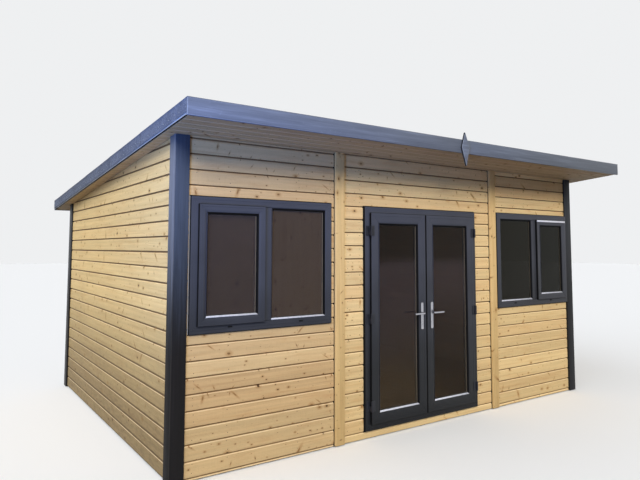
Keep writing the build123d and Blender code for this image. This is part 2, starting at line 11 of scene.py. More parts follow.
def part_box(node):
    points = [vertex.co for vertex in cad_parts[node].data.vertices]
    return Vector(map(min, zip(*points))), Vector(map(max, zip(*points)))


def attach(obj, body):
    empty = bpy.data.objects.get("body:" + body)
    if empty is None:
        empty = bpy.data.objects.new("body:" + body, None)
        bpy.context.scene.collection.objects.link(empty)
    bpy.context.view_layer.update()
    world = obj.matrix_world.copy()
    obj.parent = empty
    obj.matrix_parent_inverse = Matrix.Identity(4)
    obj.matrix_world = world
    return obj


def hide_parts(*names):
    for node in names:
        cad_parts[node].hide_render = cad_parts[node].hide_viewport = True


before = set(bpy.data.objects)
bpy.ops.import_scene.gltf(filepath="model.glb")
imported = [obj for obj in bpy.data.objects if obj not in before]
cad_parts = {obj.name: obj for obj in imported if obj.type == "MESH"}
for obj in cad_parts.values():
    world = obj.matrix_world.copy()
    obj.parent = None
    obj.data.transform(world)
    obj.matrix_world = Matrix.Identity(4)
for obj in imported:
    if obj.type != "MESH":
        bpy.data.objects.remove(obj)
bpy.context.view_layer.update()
HOUSE = "building"


# Sizes in metres, taken from the frame where a solid gives them
def corner_low(node):
    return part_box(node)[0]


def corner_high(node):
    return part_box(node)[1]


CLADDING = 0.016
LINING = 0.012
WALL = corner_high("left_wall").x - corner_low("left_wall").x
LEFT = corner_low("left_wall").x
RIGHT = corner_high("right_wall").x
FRONT = corner_low("front_wall_left_panel").y
BACK = corner_high("back_wall").y
LEFT_JOINT = corner_high("front_wall_left_panel").x
RIGHT_JOINT = corner_low("front_wall_right_panel").x
CLADDING_START = corner_low("front_wall_left_panel").z
FLOOR_TOP = corner_high("floor_deck").z
ROOF_LEFT = corner_low("fascia_left").x
ROOF_RIGHT = corner_high("fascia_right").x
EAVES = corner_low("soffit_front").z
CEILING_LOW, CEILING_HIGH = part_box("ceiling")
SLOPE = (CEILING_HIGH.z - LINING - CEILING_LOW.z) / (CEILING_HIGH.y - CEILING_LOW.y)
PITCH = math.atan(SLOPE)

# Sizes of the boards
BOARD_THICKNESS = 0.015
SCOOP = 0.0095
SCOOP_HEIGHT = 0.016
JOINT_GAP = 0.005
LAP = 0.009
BOARD_WANDER = 0.0009
MATCHBOARD_COVER = 0.098
MATCHBOARD_CHAMFER = 0.005
MATCHBOARD_GAP = 0.0008

# Height of one board joint, and the cover of a board, on each wall
LEFT_PANEL_BOARDS = (0.030, 0.1189)
CENTRE_PANEL_BOARDS = (0.075, 0.1175)
RIGHT_PANEL_BOARDS = (0.041, 0.1170)
SIDE_WALL_BOARDS = (0.016, 0.1180)

# Sizes of the windows and doors
PROFILE_DEPTH = 0.070
FRAME_WIDTH = 0.066
MULLION_WIDTH = 0.076
MULLION_SHIFT = 0.010
SASH_WIDTH = 0.062
SASH_OVERLAP = 0.008
SASH_STOP = 0.015
DOOR_FRAME_WIDTH = 0.062
STILE_WIDTH = 0.096
LEAF_SETBACK = 0.013
LEAF_GAP = 0.005
DOOR_STOP = 0.015
PROFILE_CHAMFER = 0.006
BEAD_WIDTH = 0.015
BEAD_DEPTH = 0.018
BEAD_LIP = 0.004
GASKET = 0.0025
GLASS_SET_IN = 0.022
GLASS_THICKNESS = 0.024
PANE = 0.004
SPACER = 0.008


def soffit_z(y):
    """Height of the soffit's underside at a depth y."""
    return EAVES - (y - FRONT) * SLOPE


def srgb(red, green, blue):
    """A colour given from 0 to 255, as the linear one with an alpha that shaders take."""
    def linear(value):
        value /= 255
        return value / 12.92 if value <= 0.04045 else ((value + 0.055) / 1.055) ** 2.4
    return (linear(red), linear(green), linear(blue), 1.0)


# Shader maths
class Value:
    """A socket of a node tree that takes part in Python expressions."""

    def __init__(self, nodes, socket):
        self.nodes = nodes
        self.socket = socket

    def __add__(self, other):
        return self.nodes.maths("ADD", self, other)

    def __sub__(self, other):
        return self.nodes.maths("SUBTRACT", self, other)

    def __rsub__(self, other):
        return self.nodes.maths("SUBTRACT", other, self)

    def __mul__(self, other):
        return self.nodes.maths("MULTIPLY", self, other)

    def __truediv__(self, other):
        return self.nodes.maths("DIVIDE", self, other)

    def __rtruediv__(self, other):
        return self.nodes.maths("DIVIDE", other, self)

    __radd__ = __add__
    __rmul__ = __mul__

    def also(self, name):
        """Another output of the same node."""
        return Value(self.nodes, self.nodes.find(self.socket.node.outputs, name))


class Nodes:
    """A node tree whose nodes all come from one method, with its maths written as expressions."""

    def __init__(self, tree):
        self.tree = tree

    @staticmethod
    def find(sockets, key):
        if isinstance(key, int):
            return sockets[key]
        return next(s for s in sockets if key in (s.identifier, s.name))

    def node(self, kind, settings=None, inputs=None, output=0):
        """A node of any type, with its settings and then its sockets filled in."""
        node = self.tree.nodes.new("ShaderNode" + kind)
        for key, value in (settings or {}).items():
            setattr(node, key, value)
        for key, value in (inputs or {}).items():
            self.feed(self.find(node.inputs, key), value)
        return Value(self, self.find(node.outputs, output))

    def feed(self, socket, value):
        if isinstance(value, Value):
            self.tree.links.new(value.socket, socket)
        else:
            socket.default_value = value

    def maths(self, operation, first, second=0.0):
        return self.node("Math", {"operation": operation}, {0: first, 1: second})

    def fade(self, value, start, end):
        """0 at start and 1 at end, with a smooth rise between them."""
        sockets = {"Value": value, "From Min": start, "From Max": end}
        return self.node("MapRange", {"interpolation_type": "SMOOTHSTEP"}, sockets)

    def mix(self, share, first, second, how="MIX"):
        settings = {"data_type": "RGBA", "blend_type": how}
        sockets = {"Factor_Float": share, "A_Color": first, "B_Color": second}
        return self.node("Mix", settings, sockets, "Result_Color")

    def dimmed(self, colour, light):
        """A colour times a plain number."""
        return self.mix(1.0, colour, self.joined(light, light, light), "MULTIPLY")

    def vector(self, operation, first, second, output=0):
        return self.node("VectorMath", {"operation": operation}, {0: first, 1: second}, output)

    def joined(self, x, y, z=0.0):
        return self.node("CombineXYZ", None, {0: x, 1: y, 2: z})

    def split(self, vector):
        parts = self.node("SeparateXYZ", None, {0: vector})
        return parts, parts.also("Y"), parts.also("Z")

    def noise(self, place, scale, detail=2.0, roughness=0.5, distortion=0.0):
        sockets = {"Vector": place, "Scale": scale, "Detail": detail, "Roughness": roughness,
                   "Distortion": distortion}
        return self.node("TexNoise", None, sockets)

    def here(self):
        """The point on the piece, in metres."""
        return self.node("TexCoord", None, None, "Object")

    def uv(self, name):
        return self.node("UVMap", {"uv_map": name})

    def seen_directly(self):
        """1 on rays from the camera, and on reflected and transmitted ones."""
        camera = self.node("LightPath", None, None, "Is Camera Ray")
        mirrored = self.maths("MAXIMUM", camera, camera.also("Is Glossy Ray"))
        return self.maths("MAXIMUM", mirrored, camera.also("Is Transmission Ray"))


class Finish(Nodes):
    """A material on one Principled shader."""

    def __init__(self, name, roughness=0.5, **plain):
        self.material = bpy.data.materials.new(name)
        self.material.use_nodes = True
        super().__init__(self.material.node_tree)
        self.shader = self.tree.nodes["Principled BSDF"]
        self.shader.inputs["Roughness"].default_value = roughness
        for socket, value in plain.items():
            self.shader.inputs[socket.replace("_", " ")].default_value = value

    def colour(self, value):
        self.feed(self.shader.inputs["Base Color"], value)

    def rough(self, value):
        self.feed(self.shader.inputs["Roughness"], value)

    def alpha(self, value):
        self.feed(self.shader.inputs["Alpha"], value)

    def bump(self, height, distance, strength=1.0):
        sockets = {"Height": height, "Distance": distance, "Strength": strength}
        self.feed(self.shader.inputs["Normal"], self.node("Bump", None, sockets))


# Softwood
FULL_TURN = 2 * math.pi
RING_SPACING = 0.0085
FOOT_SHADOW_HEIGHT = 0.009
WOOD_ROUGHNESS = 0.62
SHIPLAP_JOINT = 0.0085
SIDE_WALL_JOINT = 0.0068
MATCHBOARD_JOINT = 0.0035
LARGE_KNOTS = dict(spacing=0.190, share=0.74, least=0.0060, most=0.0145)
PIN_KNOTS = dict(spacing=0.098, share=0.46, least=0.0026, most=0.0062)
DARK_KNOT = (56, 32, 18)
BROWN_KNOT = (84, 50, 28)
# Joint colours: dirt and painted shade in the deep part, planed wood and painted highlight on the edge
JOINT_DIRT_AND_SHADE = srgb(84, 58, 36)
PLANED_EDGE_HIGHLIGHT = srgb(250, 232, 196)
# Towards the bottom of a wall: a darker colour, and a painted shadow along the foot of each board
LOW_DARK_COLOUR = srgb(128, 108, 80)
FOOT_SHADOW_COLOUR = srgb(70, 50, 32)


def board_places(finish):
    """Where a point lies along and across a board, the board's tone and hue, the depth below its face and the
    height over its foot. Places are in metres, and all are read from the maps that lay_grain writes."""
    along, across, _ = finish.split(finish.uv("grain"))
    tone, hue, _ = finish.split(finish.uv("board"))
    depth, rise, _ = finish.split(finish.uv("depth"))
    return along, across, tone, hue, depth, rise


def length_places(finish, along_axis, across_axis):
    """The same for a single length of timber, from its own coordinates."""
    parts = dict(zip("xyz", finish.split(finish.here())))
    other = next(axis for axis in "xyz" if axis not in (along_axis, across_axis))
    across = parts[across_axis] + parts[other] * 0.6
    return parts[along_axis], across, 0.5, 0.5, 0.0, 1.0


def knot_field(finish, along, across, knots, spacing, share, least, most):
    """Knots on a share of a grid of cells: round ones, oval ones, and spikes cut lengthwise across the board.

    Returns how far inside a knot's heart and its halo a point lies, a shade, and the knot's radius."""
    plane = finish.joined(along, across)
    cells = finish.node("TexVoronoi", {"voronoi_dimensions": "2D"},
                        {"Vector": plane, "Scale": 1 / spacing, "Randomness": 0.95})
    chance, size, shade = finish.split(cells.also("Color"))
    present = finish.maths("LESS_THAN", chance, share * knots)
    radius = size * size * (most - least) + least
    off_along, off_across, _ = finish.split(finish.vector("SUBTRACT", plane, cells.also("Position")))
    spike = finish.maths("GREATER_THAN", shade, 0.80)
    lean = off_along + off_across * (spike * (chance * 3.0 - 1.1))
    reach_along = lean * (spike * 0.5 + 0.8)
    reach_across = off_across * (1.25 - spike * 0.80)
    rough_edge = finish.noise(plane, 190.0, 2.0) * 0.7 + 0.65
    distance = finish.vector("LENGTH", finish.joined(reach_along, reach_across), (0, 0, 0), "Value")
    reach = distance / (radius * rough_edge)
    heart = (1 - finish.fade(reach, 0.60, 1.0)) * present
    halo = (1 - finish.fade(reach, 0.9, 2.8)) * present
    return heart, halo, shade, radius


def darkened_low(finish, body, along, across, rise, figure, low_darkening):
    """Darker and mottled towards the bottom of a wall, with a painted shadow along the foot of each board
    there.
    """
    _, _, z = finish.split(finish.here())
    low_wobble = finish.noise(finish.joined(along * 1.1, across * 3.0, z * 1.5), 1.0, 4.0, 0.6)
    mottle = figure(9.0, 34.0, 4.0, 0.7)
    low_dark = (1 - finish.fade(z + low_wobble * 0.5 - 0.25, 0.0, 1.6)) * (mottle * 0.7 + 0.65) * low_darkening
    body = finish.mix(low_dark, body, finish.mix(0.5, finish.dimmed(body, 0.32), LOW_DARK_COLOUR))
    foot_shadow = (1 - finish.fade(rise, FOOT_SHADOW_HEIGHT * 0.3, FOOT_SHADOW_HEIGHT)) * low_dark
    return finish.mix(foot_shadow * 0.85, body, FOOT_SHADOW_COLOUR)


def jointed(finish, body, depth, joint):
    """By the depth below a board's face: a pale band at the edge of the face, as planed wood and painted
    highlight, and the deep joint darker, as dirt and painted shade.
    """
    edge = finish.fade(depth, joint * 0.02, joint * 0.12)
    edge = edge * (1 - finish.fade(depth, joint * 0.55, joint * 0.85))
    body = finish.mix(edge * 0.42, body, PLANED_EDGE_HIGHLIGHT)
    return finish.mix(finish.fade(depth, joint * 0.80, joint * 1.05) * 0.85, body, JOINT_DIRT_AND_SHADE)


def softwood(name, places, colours, knots=1.0, joint=SHIPLAP_JOINT, low_darkening=0.0):
    """Planed softwood: growth rings that run along a board and round its knots, and joints darker as dirt and
    painted shade.

    The colours are those of the sapwood, the late rings, the pink patches and the knots."""
    finish = Finish(name, WOOD_ROUGHNESS, Specular_IOR_Level=0.22)
    sapwood, heartwood, pink, knot = (srgb(*colour) for colour in colours)
    along, across, tone, hue, depth, rise = places(finish)
    large, large_halo, shade, radius = knot_field(finish, along, across, knots, **LARGE_KNOTS)
    pins, pin_halo, _, _ = knot_field(finish, along + 3.7, across + 1.3, knots, **PIN_KNOTS)
    heart = finish.maths("MAXIMUM", large, pins)
    halo = finish.maths("MAXIMUM", large_halo, pin_halo * 0.7)

    def figure(lengthways, crossways, detail, roughness=0.5):
        """Noise at one scale along the grain and another across it."""
        return finish.noise(finish.joined(along * lengthways, across * crossways), 1.0, detail, roughness)

    # Growth rings wander along the board and part round the knots
    drift = figure(0.8, 5.0, 2.0)
    ripple = figure(6.0, 14.0, 1.0)
    rings_at = across + drift * 0.085 + ripple * 0.006 + large_halo * radius * 1.9
    rings = finish.maths("SINE", rings_at * (FULL_TURN / RING_SPACING)) * 0.5 + 0.5
    fibres = figure(7.0, 420.0, 2.0, 0.6)
    patches = figure(2.6, 15.0, 4.0, 0.6)
    streaks = finish.noise(finish.joined(along * 1.3 + 9.0, across * 48.0), 1.0, 2.0)
    sawn = figure(150.0, 9.0, 2.0)
    bands = figure(0.9, 30.0, 3.0, 0.65)
    flecks = finish.fade(figure(48.0, 150.0, 2.0), 0.60, 0.74)

    late = rings * (patches * 0.6 + 0.22) + finish.fade(streaks, 0.52, 0.75) * 0.45
    body = finish.mix(late * 0.55, sapwood, heartwood)
    warmth = finish.fade(patches, 0.50, 0.76) * 0.40 + finish.fade(hue, 0.6, 1.0) * 0.32
    body = finish.mix(warmth, body, pink)
    body = finish.mix(halo * (1 - heart) * 0.60, body, heartwood)
    light = tone * 0.16 + fibres * 0.12 + sawn * 0.10 + bands * 0.44 - flecks * 0.16 + 0.57
    body = finish.dimmed(body, light)

    body = darkened_low(finish, body, along, across, rise, figure, low_darkening)
    body = jointed(finish, body, depth, joint)
    knot_wood = finish.mix(finish.fade(shade, 0.1, 0.7) * 0.55, knot, heartwood)
    finish.colour(finish.mix(heart * 0.93, body, knot_wood))
    finish.rough(rings * 0.06 + fibres * 0.10 + (WOOD_ROUGHNESS - 0.06))
    finish.bump(rings * 0.3 + fibres * 0.45 + sawn * 0.3 + heart * 0.5, 0.0005, 0.55)
    return finish.material


def upright_places(finish):
    return length_places(finish, "z", "x")


def bearer_places(finish):
    return length_places(finish, "y", "x")


pine_boards = softwood("pine_boards", board_places, knots=1.22, low_darkening=0.18,
                       colours=((234, 208, 157), (194, 146, 88), (216, 170, 118), DARK_KNOT))
pine_left = softwood("pine_left", board_places, knots=1.22, low_darkening=0.10,
                     colours=((214, 188, 144), (174, 132, 84), (194, 154, 110), DARK_KNOT))
pine_side = softwood("pine_side", board_places, joint=SIDE_WALL_JOINT, low_darkening=0.92,
                     colours=((232, 204, 148), (192, 150, 90), (214, 174, 118), DARK_KNOT))
pine_rear = softwood("pine_rear", board_places, low_darkening=0.35,
                     colours=((234, 207, 154), (194, 148, 90), (216, 172, 118), DARK_KNOT))
pine_strip = softwood("pine_strip", upright_places, knots=1.1, low_darkening=0.12,
                      colours=((220, 190, 136), (178, 134, 80), (198, 160, 108), DARK_KNOT))
# The soffit's wood is darker than the lining's, partly as painted shade under the eaves
pine_soffit = softwood("pine_soffit", board_places, joint=MATCHBOARD_JOINT,
                       colours=((203, 180, 142), (154, 119, 79), (172, 138, 104), (64, 40, 26)))
pine_lining = softwood("pine_lining", board_places, knots=0.7, joint=MATCHBOARD_JOINT,
                       colours=((222, 192, 146), (186, 142, 90), (206, 162, 116), BROWN_KNOT))
floor_wood = softwood("floor_wood", board_places, knots=0.5, joint=MATCHBOARD_JOINT,
                      colours=((198, 162, 116), (158, 116, 74), (180, 136, 96), (74, 44, 26)))
framing_wood = softwood("framing_wood", upright_places,
                        colours=((214, 180, 128), (172, 130, 80), (196, 150, 102), BROWN_KNOT))
treated_wood = softwood("treated_wood", bearer_places,
                        colours=((150, 142, 104), (112, 104, 68), (128, 114, 80), (62, 48, 30)))


# Paint, plastic and metal
PAINT_ROUGHNESS = 0.45
# Spans of painted sky light: up the trims, and from left to right along the roof's edges
TRIM_FADE = (0.90, 2.10)
ROOF_FADE = (-2.4, 2.4)


def painted_wood(name, low_colour, high_colour, span, by, along, specular=0.14):
    """Paint over planed boards, one colour at the start of a span along an axis and another at its end.

    The grain runs along an axis of its own, and shows as fine relief and as streaks in the sheen."""
    finish = Finish(name, PAINT_ROUGHNESS, Specular_IOR_Level=specular)
    parts = dict(zip("xyz", finish.split(finish.here())))

    def drawn(fine, coarse, detail):
        place = finish.joined(*(parts[axis] * (coarse if axis == along else fine) for axis in "xyz"))
        return finish.noise(place, 1.0, detail, 0.6)

    grain = drawn(260.0, 6.0, 3.0)
    streaks = drawn(34.0, 1.4, 3.0)
    scuffs = finish.fade(finish.noise(finish.here(), 30.0, 5.0, 0.7), 0.60, 0.80)
    fade = finish.fade(parts[by] + streaks * 0.5 - 0.25, *span)
    body = finish.mix(fade, srgb(*low_colour), srgb(*high_colour))
    body = finish.dimmed(body, grain * 0.4 + streaks * 0.9 + 0.35)
    body = finish.mix(finish.fade(streaks, 0.55, 0.75) * 0.16, body, finish.dimmed(body, 2.2))
    finish.colour(finish.mix(scuffs * 0.20, body, finish.dimmed(body, 3.0)))
    finish.rough(grain * 0.25 + streaks * 0.2 + (PAINT_ROUGHNESS - 0.2))
    finish.bump(grain * 0.8 + streaks * 0.4, 0.0005, 0.8)
    return finish.material


# Trim paints: the near trim paler and bluer upwards as painted sky light, its side a paler copy as painted
# light, the far trims a darker copy as painted shade, and the arrises paler as wear and painted highlight
dark_trim = painted_wood("dark_trim", (25, 24, 26), (70, 79, 96), TRIM_FADE, "z", "z")
trim_side = painted_wood("trim_side", (28, 27, 28), (112, 116, 126), TRIM_FADE, "z", "z", specular=0.02)
trim_shaded = painted_wood("trim_shaded", (34, 34, 36), (46, 48, 52), TRIM_FADE, "z", "z")
worn_arris_highlight = painted_wood("worn_arris_highlight", (44, 43, 42), (96, 100, 110), TRIM_FADE, "z", "z")
# Fascia and rake paints: paler and bluer towards the left as painted sky light, the fascia's arrises paler as
# wear and painted highlight, and the rake boards pale partly as painted highlight
fascia_paint = painted_wood("fascia_paint", (104, 112, 130), (95, 101, 112), ROOF_FADE, "x", "x")
fascia_arris_highlight = painted_wood("fascia_arris_highlight", (132, 140, 156), (124, 130, 140), ROOF_FADE, "x", "x")
rake_paint = painted_wood("rake_paint", (160, 164, 172), (150, 154, 162), ROOF_FADE, "x", "y")


def foiled_plastic(name, low_colour, high_colour, roughness=0.36):
    """Dark foil with a faint pressed grain, bluer and paler upwards and less so towards the right as a
    painted reflection of the sky, and darker at the very bottom.
    """
    finish = Finish(name, roughness, Specular_IOR_Level=0.20)
    here = finish.here()
    x, y, z = finish.split(here)
    pressed = finish.noise(finish.joined(x * 900.0, y * 900.0, z * 240.0), 1.0, 2.0)
    clouds = finish.noise(here, 3.0, 2.0)
    dust = finish.fade(finish.noise(here, 60.0, 4.0, 0.7), 0.60, 0.78) * (1 - finish.fade(z, 0.1, 0.7))
    # Painted reflection of the sky: paler and bluer upwards, greyer towards the right
    body = finish.mix(finish.fade(z + clouds * 0.5, 0.6, 2.3), srgb(*low_colour), srgb(*high_colour))
    body = finish.mix(finish.fade(x, -0.5, 1.6) * 0.55, body, finish.mix(0.5, body, srgb(58, 58, 58)))
    body = finish.mix((1 - finish.fade(z, 0.09, 0.30)) * 0.6, body, srgb(20, 21, 24))
    body = finish.dimmed(body, clouds * 0.3 + pressed * 0.08 + 0.80)
    finish.colour(finish.mix(dust * 0.25, body, srgb(110, 100, 86)))
    finish.rough(pressed * 0.12 + clouds * 0.1 + (roughness - 0.08))
    finish.bump(pressed, 0.00015, 0.5)
    return finish.material


frame_plastic = foiled_plastic("frame_plastic", (36, 38, 42), (66, 69, 80))
bead_plastic = foiled_plastic("bead_plastic", (38, 40, 46), (60, 63, 78), 0.30)


def sky_reflection_finish(name, colour):
    """The bottom beads and the drip bar: pale with a painted reflection of the sky, with drips and dust."""
    finish = Finish(name, 0.25, Specular_IOR_Level=0.5)
    x, y, z = finish.split(finish.here())
    drips = finish.noise(finish.joined(x * 46.0, y * 46.0, z * 9.0), 1.0, 3.0, 0.6)
    finish.colour(finish.mix(finish.fade(drips, 0.45, 0.72) * 0.45, srgb(*colour), srgb(150, 154, 170)))
    finish.rough(drips * 0.2 + 0.12)
    finish.bump(drips, 0.0002, 0.4)
    return finish.material


# Pale as a painted reflection of the sky
bright_bead = sky_reflection_finish("bright_bead", (212, 216, 230))


def plain_finish(name, colour, roughness, speckle=0.12, scale=60.0, metallic=0.0, specular=0.4):
    """Rubber, metal and small ironmongery: one colour with a little cloud and wear."""
    finish = Finish(name, roughness, Metallic=metallic, Specular_IOR_Level=specular)
    clouds = finish.noise(finish.here(), scale, 4.0, 0.6)
    finish.colour(finish.dimmed(srgb(*colour), clouds * speckle + (1 - speckle / 2)))
    finish.rough(clouds * 0.18 + (roughness - 0.09))
    finish.bump(clouds, 0.0001, 0.3)
    return finish.material


# Black rubber for the gaskets, seals and caps, used also for blocks and faces painted black as shadow
rubber_and_shadow = plain_finish("rubber_and_shadow", (13, 13, 15), 0.75, specular=0.2)
hinge_metal = plain_finish("hinge_metal", (26, 28, 36), 0.45)
white_lacquer = plain_finish("white_lacquer", (226, 226, 224), 0.35)
# A pale sealant that also serves as a painted highlight
pale_sealant_highlight = plain_finish("pale_sealant_highlight", (154, 156, 162), 0.6)
chrome = plain_finish("chrome", (182, 182, 188), 0.18, 0.06, 25.0, metallic=1.0)
spacer_metal = plain_finish("spacer_metal", (122, 114, 102), 0.45)
nail_metal = plain_finish("nail_metal", (66, 48, 34), 0.55, 0.4, 40.0)
clout_metal = plain_finish("clout_metal", (150, 154, 160), 0.45, 0.2, 40.0, metallic=0.5)


# Glass
PANE_EDGE_CLEAR = 0.007
DOOR_GLASS_FROM = (-0.9, -0.8)
RIGHT_LEAF_FROM = (0.0, 0.1)
RIGHT_WINDOW_FROM = (0.9, 1.0)
DOOR_HEAD_SHADE = (1.55, 1.68)


def window_glass(name, least_alpha, alpha, specular):
    """One pane, tinted by the dark room behind it, with painted reflection and shade: browner low down,
    darker at the head of the doors, low on the right leaf and over the right window. It clears at its right
    edge, where the spacer shows.
    """
    finish = Finish(name, 0.03, Specular_IOR_Level=specular, IOR=1.5)
    here = finish.here()
    x, y, z = finish.split(here)
    broad = finish.noise(finish.joined(x * 1.3, y * 1.3, z * 1.7), 1.0, 3.0, 0.55)
    cloudy = finish.noise(finish.joined(x * 4.0, y * 4.0, z * 9.0), 1.0, 4.0, 0.6)
    # Painted reflection and shade over the room's tint
    tint_and_reflection = finish.mix(finish.fade(z + broad * 0.8, 0.8, 1.6), srgb(50, 44, 33), srgb(54, 48, 51))
    door_top = finish.fade(z + cloudy * 0.1, *DOOR_HEAD_SHADE) * finish.fade(x, *DOOR_GLASS_FROM)
    tint_and_reflection = finish.mix(door_top, tint_and_reflection, srgb(14, 15, 15))
    low_right = finish.fade(x, *RIGHT_LEAF_FROM) * (1 - finish.fade(z, 0.9, 1.5))
    tint_and_reflection = finish.mix(low_right * 0.7, tint_and_reflection, srgb(18, 15, 9))
    tint_and_reflection = finish.mix(finish.fade(x, *RIGHT_WINDOW_FROM) * 0.95, tint_and_reflection, srgb(18, 19, 9))
    finish.colour(finish.dimmed(tint_and_reflection, broad * 0.5 + cloudy * 0.6 + 0.45))
    from_edge, _, _ = finish.split(finish.uv("pane"))
    clouded = finish.fade(x, *RIGHT_WINDOW_FROM) * 0.22 + (alpha - least_alpha)
    inside = finish.fade(from_edge, PANE_EDGE_CLEAR * 0.9, PANE_EDGE_CLEAR)
    finish.alpha(inside * clouded + least_alpha)
    return finish.material


outer_glass = window_glass("outer_glass", 0.10, 0.52, 0.15)
inner_glass = window_glass("inner_glass", 0.12, 0.12, 0.10)


# Mineral felt
FELT_STRIPS = 5
FELT_LAP = 0.08
FELT_SEAM = 0.016
FELT_LOW, FELT_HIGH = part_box("roof_felt")
FELT_STEP = (FELT_HIGH.y - FELT_LOW.y) / FELT_STRIPS


def mineral_felt(name):
    """Roofing felt: a mineral face in crushed slate, with faint stains, and adhesive along each lap."""
    finish = Finish(name, 0.92, Specular_IOR_Level=0.2)
    here = finish.here()
    grit = finish.noise(here, 620.0, 3.0, 0.8)
    chips = finish.node("TexVoronoi", None, {"Vector": here, "Scale": 340.0})
    chip, _, _ = finish.split(chips.also("Color"))
    clouds = finish.noise(here, 5.0, 5.0, 0.65)
    _, y, _ = finish.split(here)
    laps = (y + clouds * 0.008 - FELT_LOW.y - FELT_LAP) * (1 / FELT_STEP)
    phase = finish.maths("FRACT", laps)
    seam = 1 - finish.fade(phase, FELT_SEAM / FELT_STEP * 0.6, FELT_SEAM / FELT_STEP)
    seam = seam * finish.fade(laps, 0.4, 0.6)
    strip_tone = finish.noise(finish.joined((laps - phase) * 3.7, 0.0), 1.0)
    stains = finish.fade(finish.noise(here, 1.6, 5.0, 0.65, 0.6), 0.48, 0.70)
    body = finish.mix(finish.fade(chip, 0.2, 0.9), srgb(70, 78, 96), srgb(118, 126, 146))
    body = finish.mix(finish.fade(grit, 0.45, 0.75) * 0.6, body, srgb(146, 152, 168))
    body = finish.dimmed(body, finish.fade(clouds, 0.3, 0.7) * 0.18 + strip_tone * 0.5 + 0.58)
    body = finish.mix(seam * 0.75, body, srgb(34, 35, 40))
    finish.colour(finish.mix(stains * 0.22, body, srgb(54, 57, 66)))
    finish.bump(grit * 0.5 + chip * 0.5, 0.0010, 0.8)
    return finish.material


roof_felt = mineral_felt("roof_felt")


# How pieces are made
MERGED_WITHIN = 1e-5
FLAT_WITHIN = math.radians(0.5)
SHARP_FROM = math.radians(30)
SAME_LEVEL = 1e-6
EASED = 0.0015
RIM_REACH = 0.002


def mesh_object(name, bm, materials):
    """Turn a finished bmesh into an object at the origin."""
    mesh = bpy.data.meshes.new(name)
    bm.to_mesh(mesh)
    bm.free()
    for material in materials:
        mesh.materials.append(material)
    shown = bpy.data.objects.new(name, mesh)
    bpy.context.scene.collection.objects.link(shown)
    return shown


def piece(name, bm, materials, body=HOUSE, instead_of=()):
    """Turn a finished bmesh into a piece that rides on a body, and that may stand for some nodes."""
    shown = mesh_object(name, bm, materials)
    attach(shown, body)
    if instead_of:
        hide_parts(*instead_of)
    return shown


def rounded(shown, angle=32):
    """Shade smoothly over all edges but the sharp ones."""
    shown.data.shade_smooth()
    shown.data.set_sharp_from_angle(angle=math.radians(angle))
    return shown


def paint_faces(shown, index, chosen):
    """Give some faces of a piece another of its materials."""
    for face in shown.data.polygons:
        if chosen(face):
            face.material_index = index


def add_to(bm, part):
    """Join a finished part into a larger mesh."""
    mesh = bpy.data.meshes.new("part")
    part.to_mesh(mesh)
    part.free()
    bm.from_mesh(mesh)
    bpy.data.meshes.remove(mesh)


def ease(bm, edges, width, segments=1):
    """Bevel some edges, and return the new faces."""
    made = bmesh.ops.bevel(bm, geom=edges, offset=width, segments=segments, profile=0.5, affect="EDGES",
                           material=-1, clamp_overlap=True)
    return made["faces"]


def block(bm, low, high, arris=0.0, segments=1):
    """A closed block between two corners, its edges eased."""
    low, high = Vector(low), Vector(high)
    place = Matrix.Translation((low + high) / 2) @ Matrix.Diagonal((*(high - low), 1))
    part = bmesh.new()
    bmesh.ops.create_cube(part, size=1, matrix=place)
    if arris:
        ease(part, part.edges[:], arris, segments)
    add_to(bm, part)


def extruded(bm, outline):
    """A flat outline of points, extruded in place. Returns the vertices of the far end, still to be moved."""
    face = bm.faces.new([bm.verts.new(point) for point in outline])
    grown = bmesh.ops.extrude_face_region(bm, geom=[face])["geom"]
    return [part for part in grown if isinstance(part, bmesh.types.BMVert)]


def drawn_out(bm, outline, along):
    """A closed solid: a flat outline of points drawn out along a vector."""
    bmesh.ops.translate(bm, verts=extruded(bm, outline), vec=along)
    bmesh.ops.recalc_face_normals(bm, faces=bm.faces)


def trim(bm, point, normal):
    """Cut away what lies beyond a plane, and close the cut."""
    everything = bm.verts[:] + bm.edges[:] + bm.faces[:]
    cut = bmesh.ops.bisect_plane(bm, geom=everything, dist=SAME_LEVEL, plane_co=point, plane_no=normal,
                                 clear_outer=True)
    rim = [part for part in cut["geom_cut"] if isinstance(part, bmesh.types.BMEdge)]
    if rim:
        bmesh.ops.triangle_fill(bm, edges=rim, use_beauty=True, use_dissolve=True)


def merged_copy(node):
    """A solid's mesh with its loose triangles joined into whole faces."""
    bm = bmesh.new()
    bm.from_mesh(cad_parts[node].data)
    bmesh.ops.remove_doubles(bm, verts=bm.verts, dist=MERGED_WITHIN)
    bmesh.ops.dissolve_limit(bm, angle_limit=FLAT_WITHIN, verts=bm.verts, edges=bm.edges)
    return bm


def sharp_edges(bm):
    return [edge for edge in bm.edges if edge.is_manifold and edge.calc_face_angle(0) > SHARP_FROM]


def dressed(node, materials, body=HOUSE, arris=EASED, segments=2, cut=None):
    """A node's own shape with eased edges. A second material goes on the eased edges."""
    bm = merged_copy(node)
    if cut:
        trim(bm, *cut)
    eased = ease(bm, sharp_edges(bm), arris, segments)
    if len(materials) > 1:
        for face in eased:
            face.material_index = 1
    return rounded(piece(node + "_finished", bm, materials, body, [node]))


def mitre_edges(bar, sides):
    """The edges round the two slanting ends of a bar whose section has so many sides."""
    ends = [face for face in bar.faces
            if abs(face.normal.x) > 0.1 and abs(face.normal.z) > 0.1 and len(face.verts) == sides]
    return list({edge for face in ends for edge in face.edges})


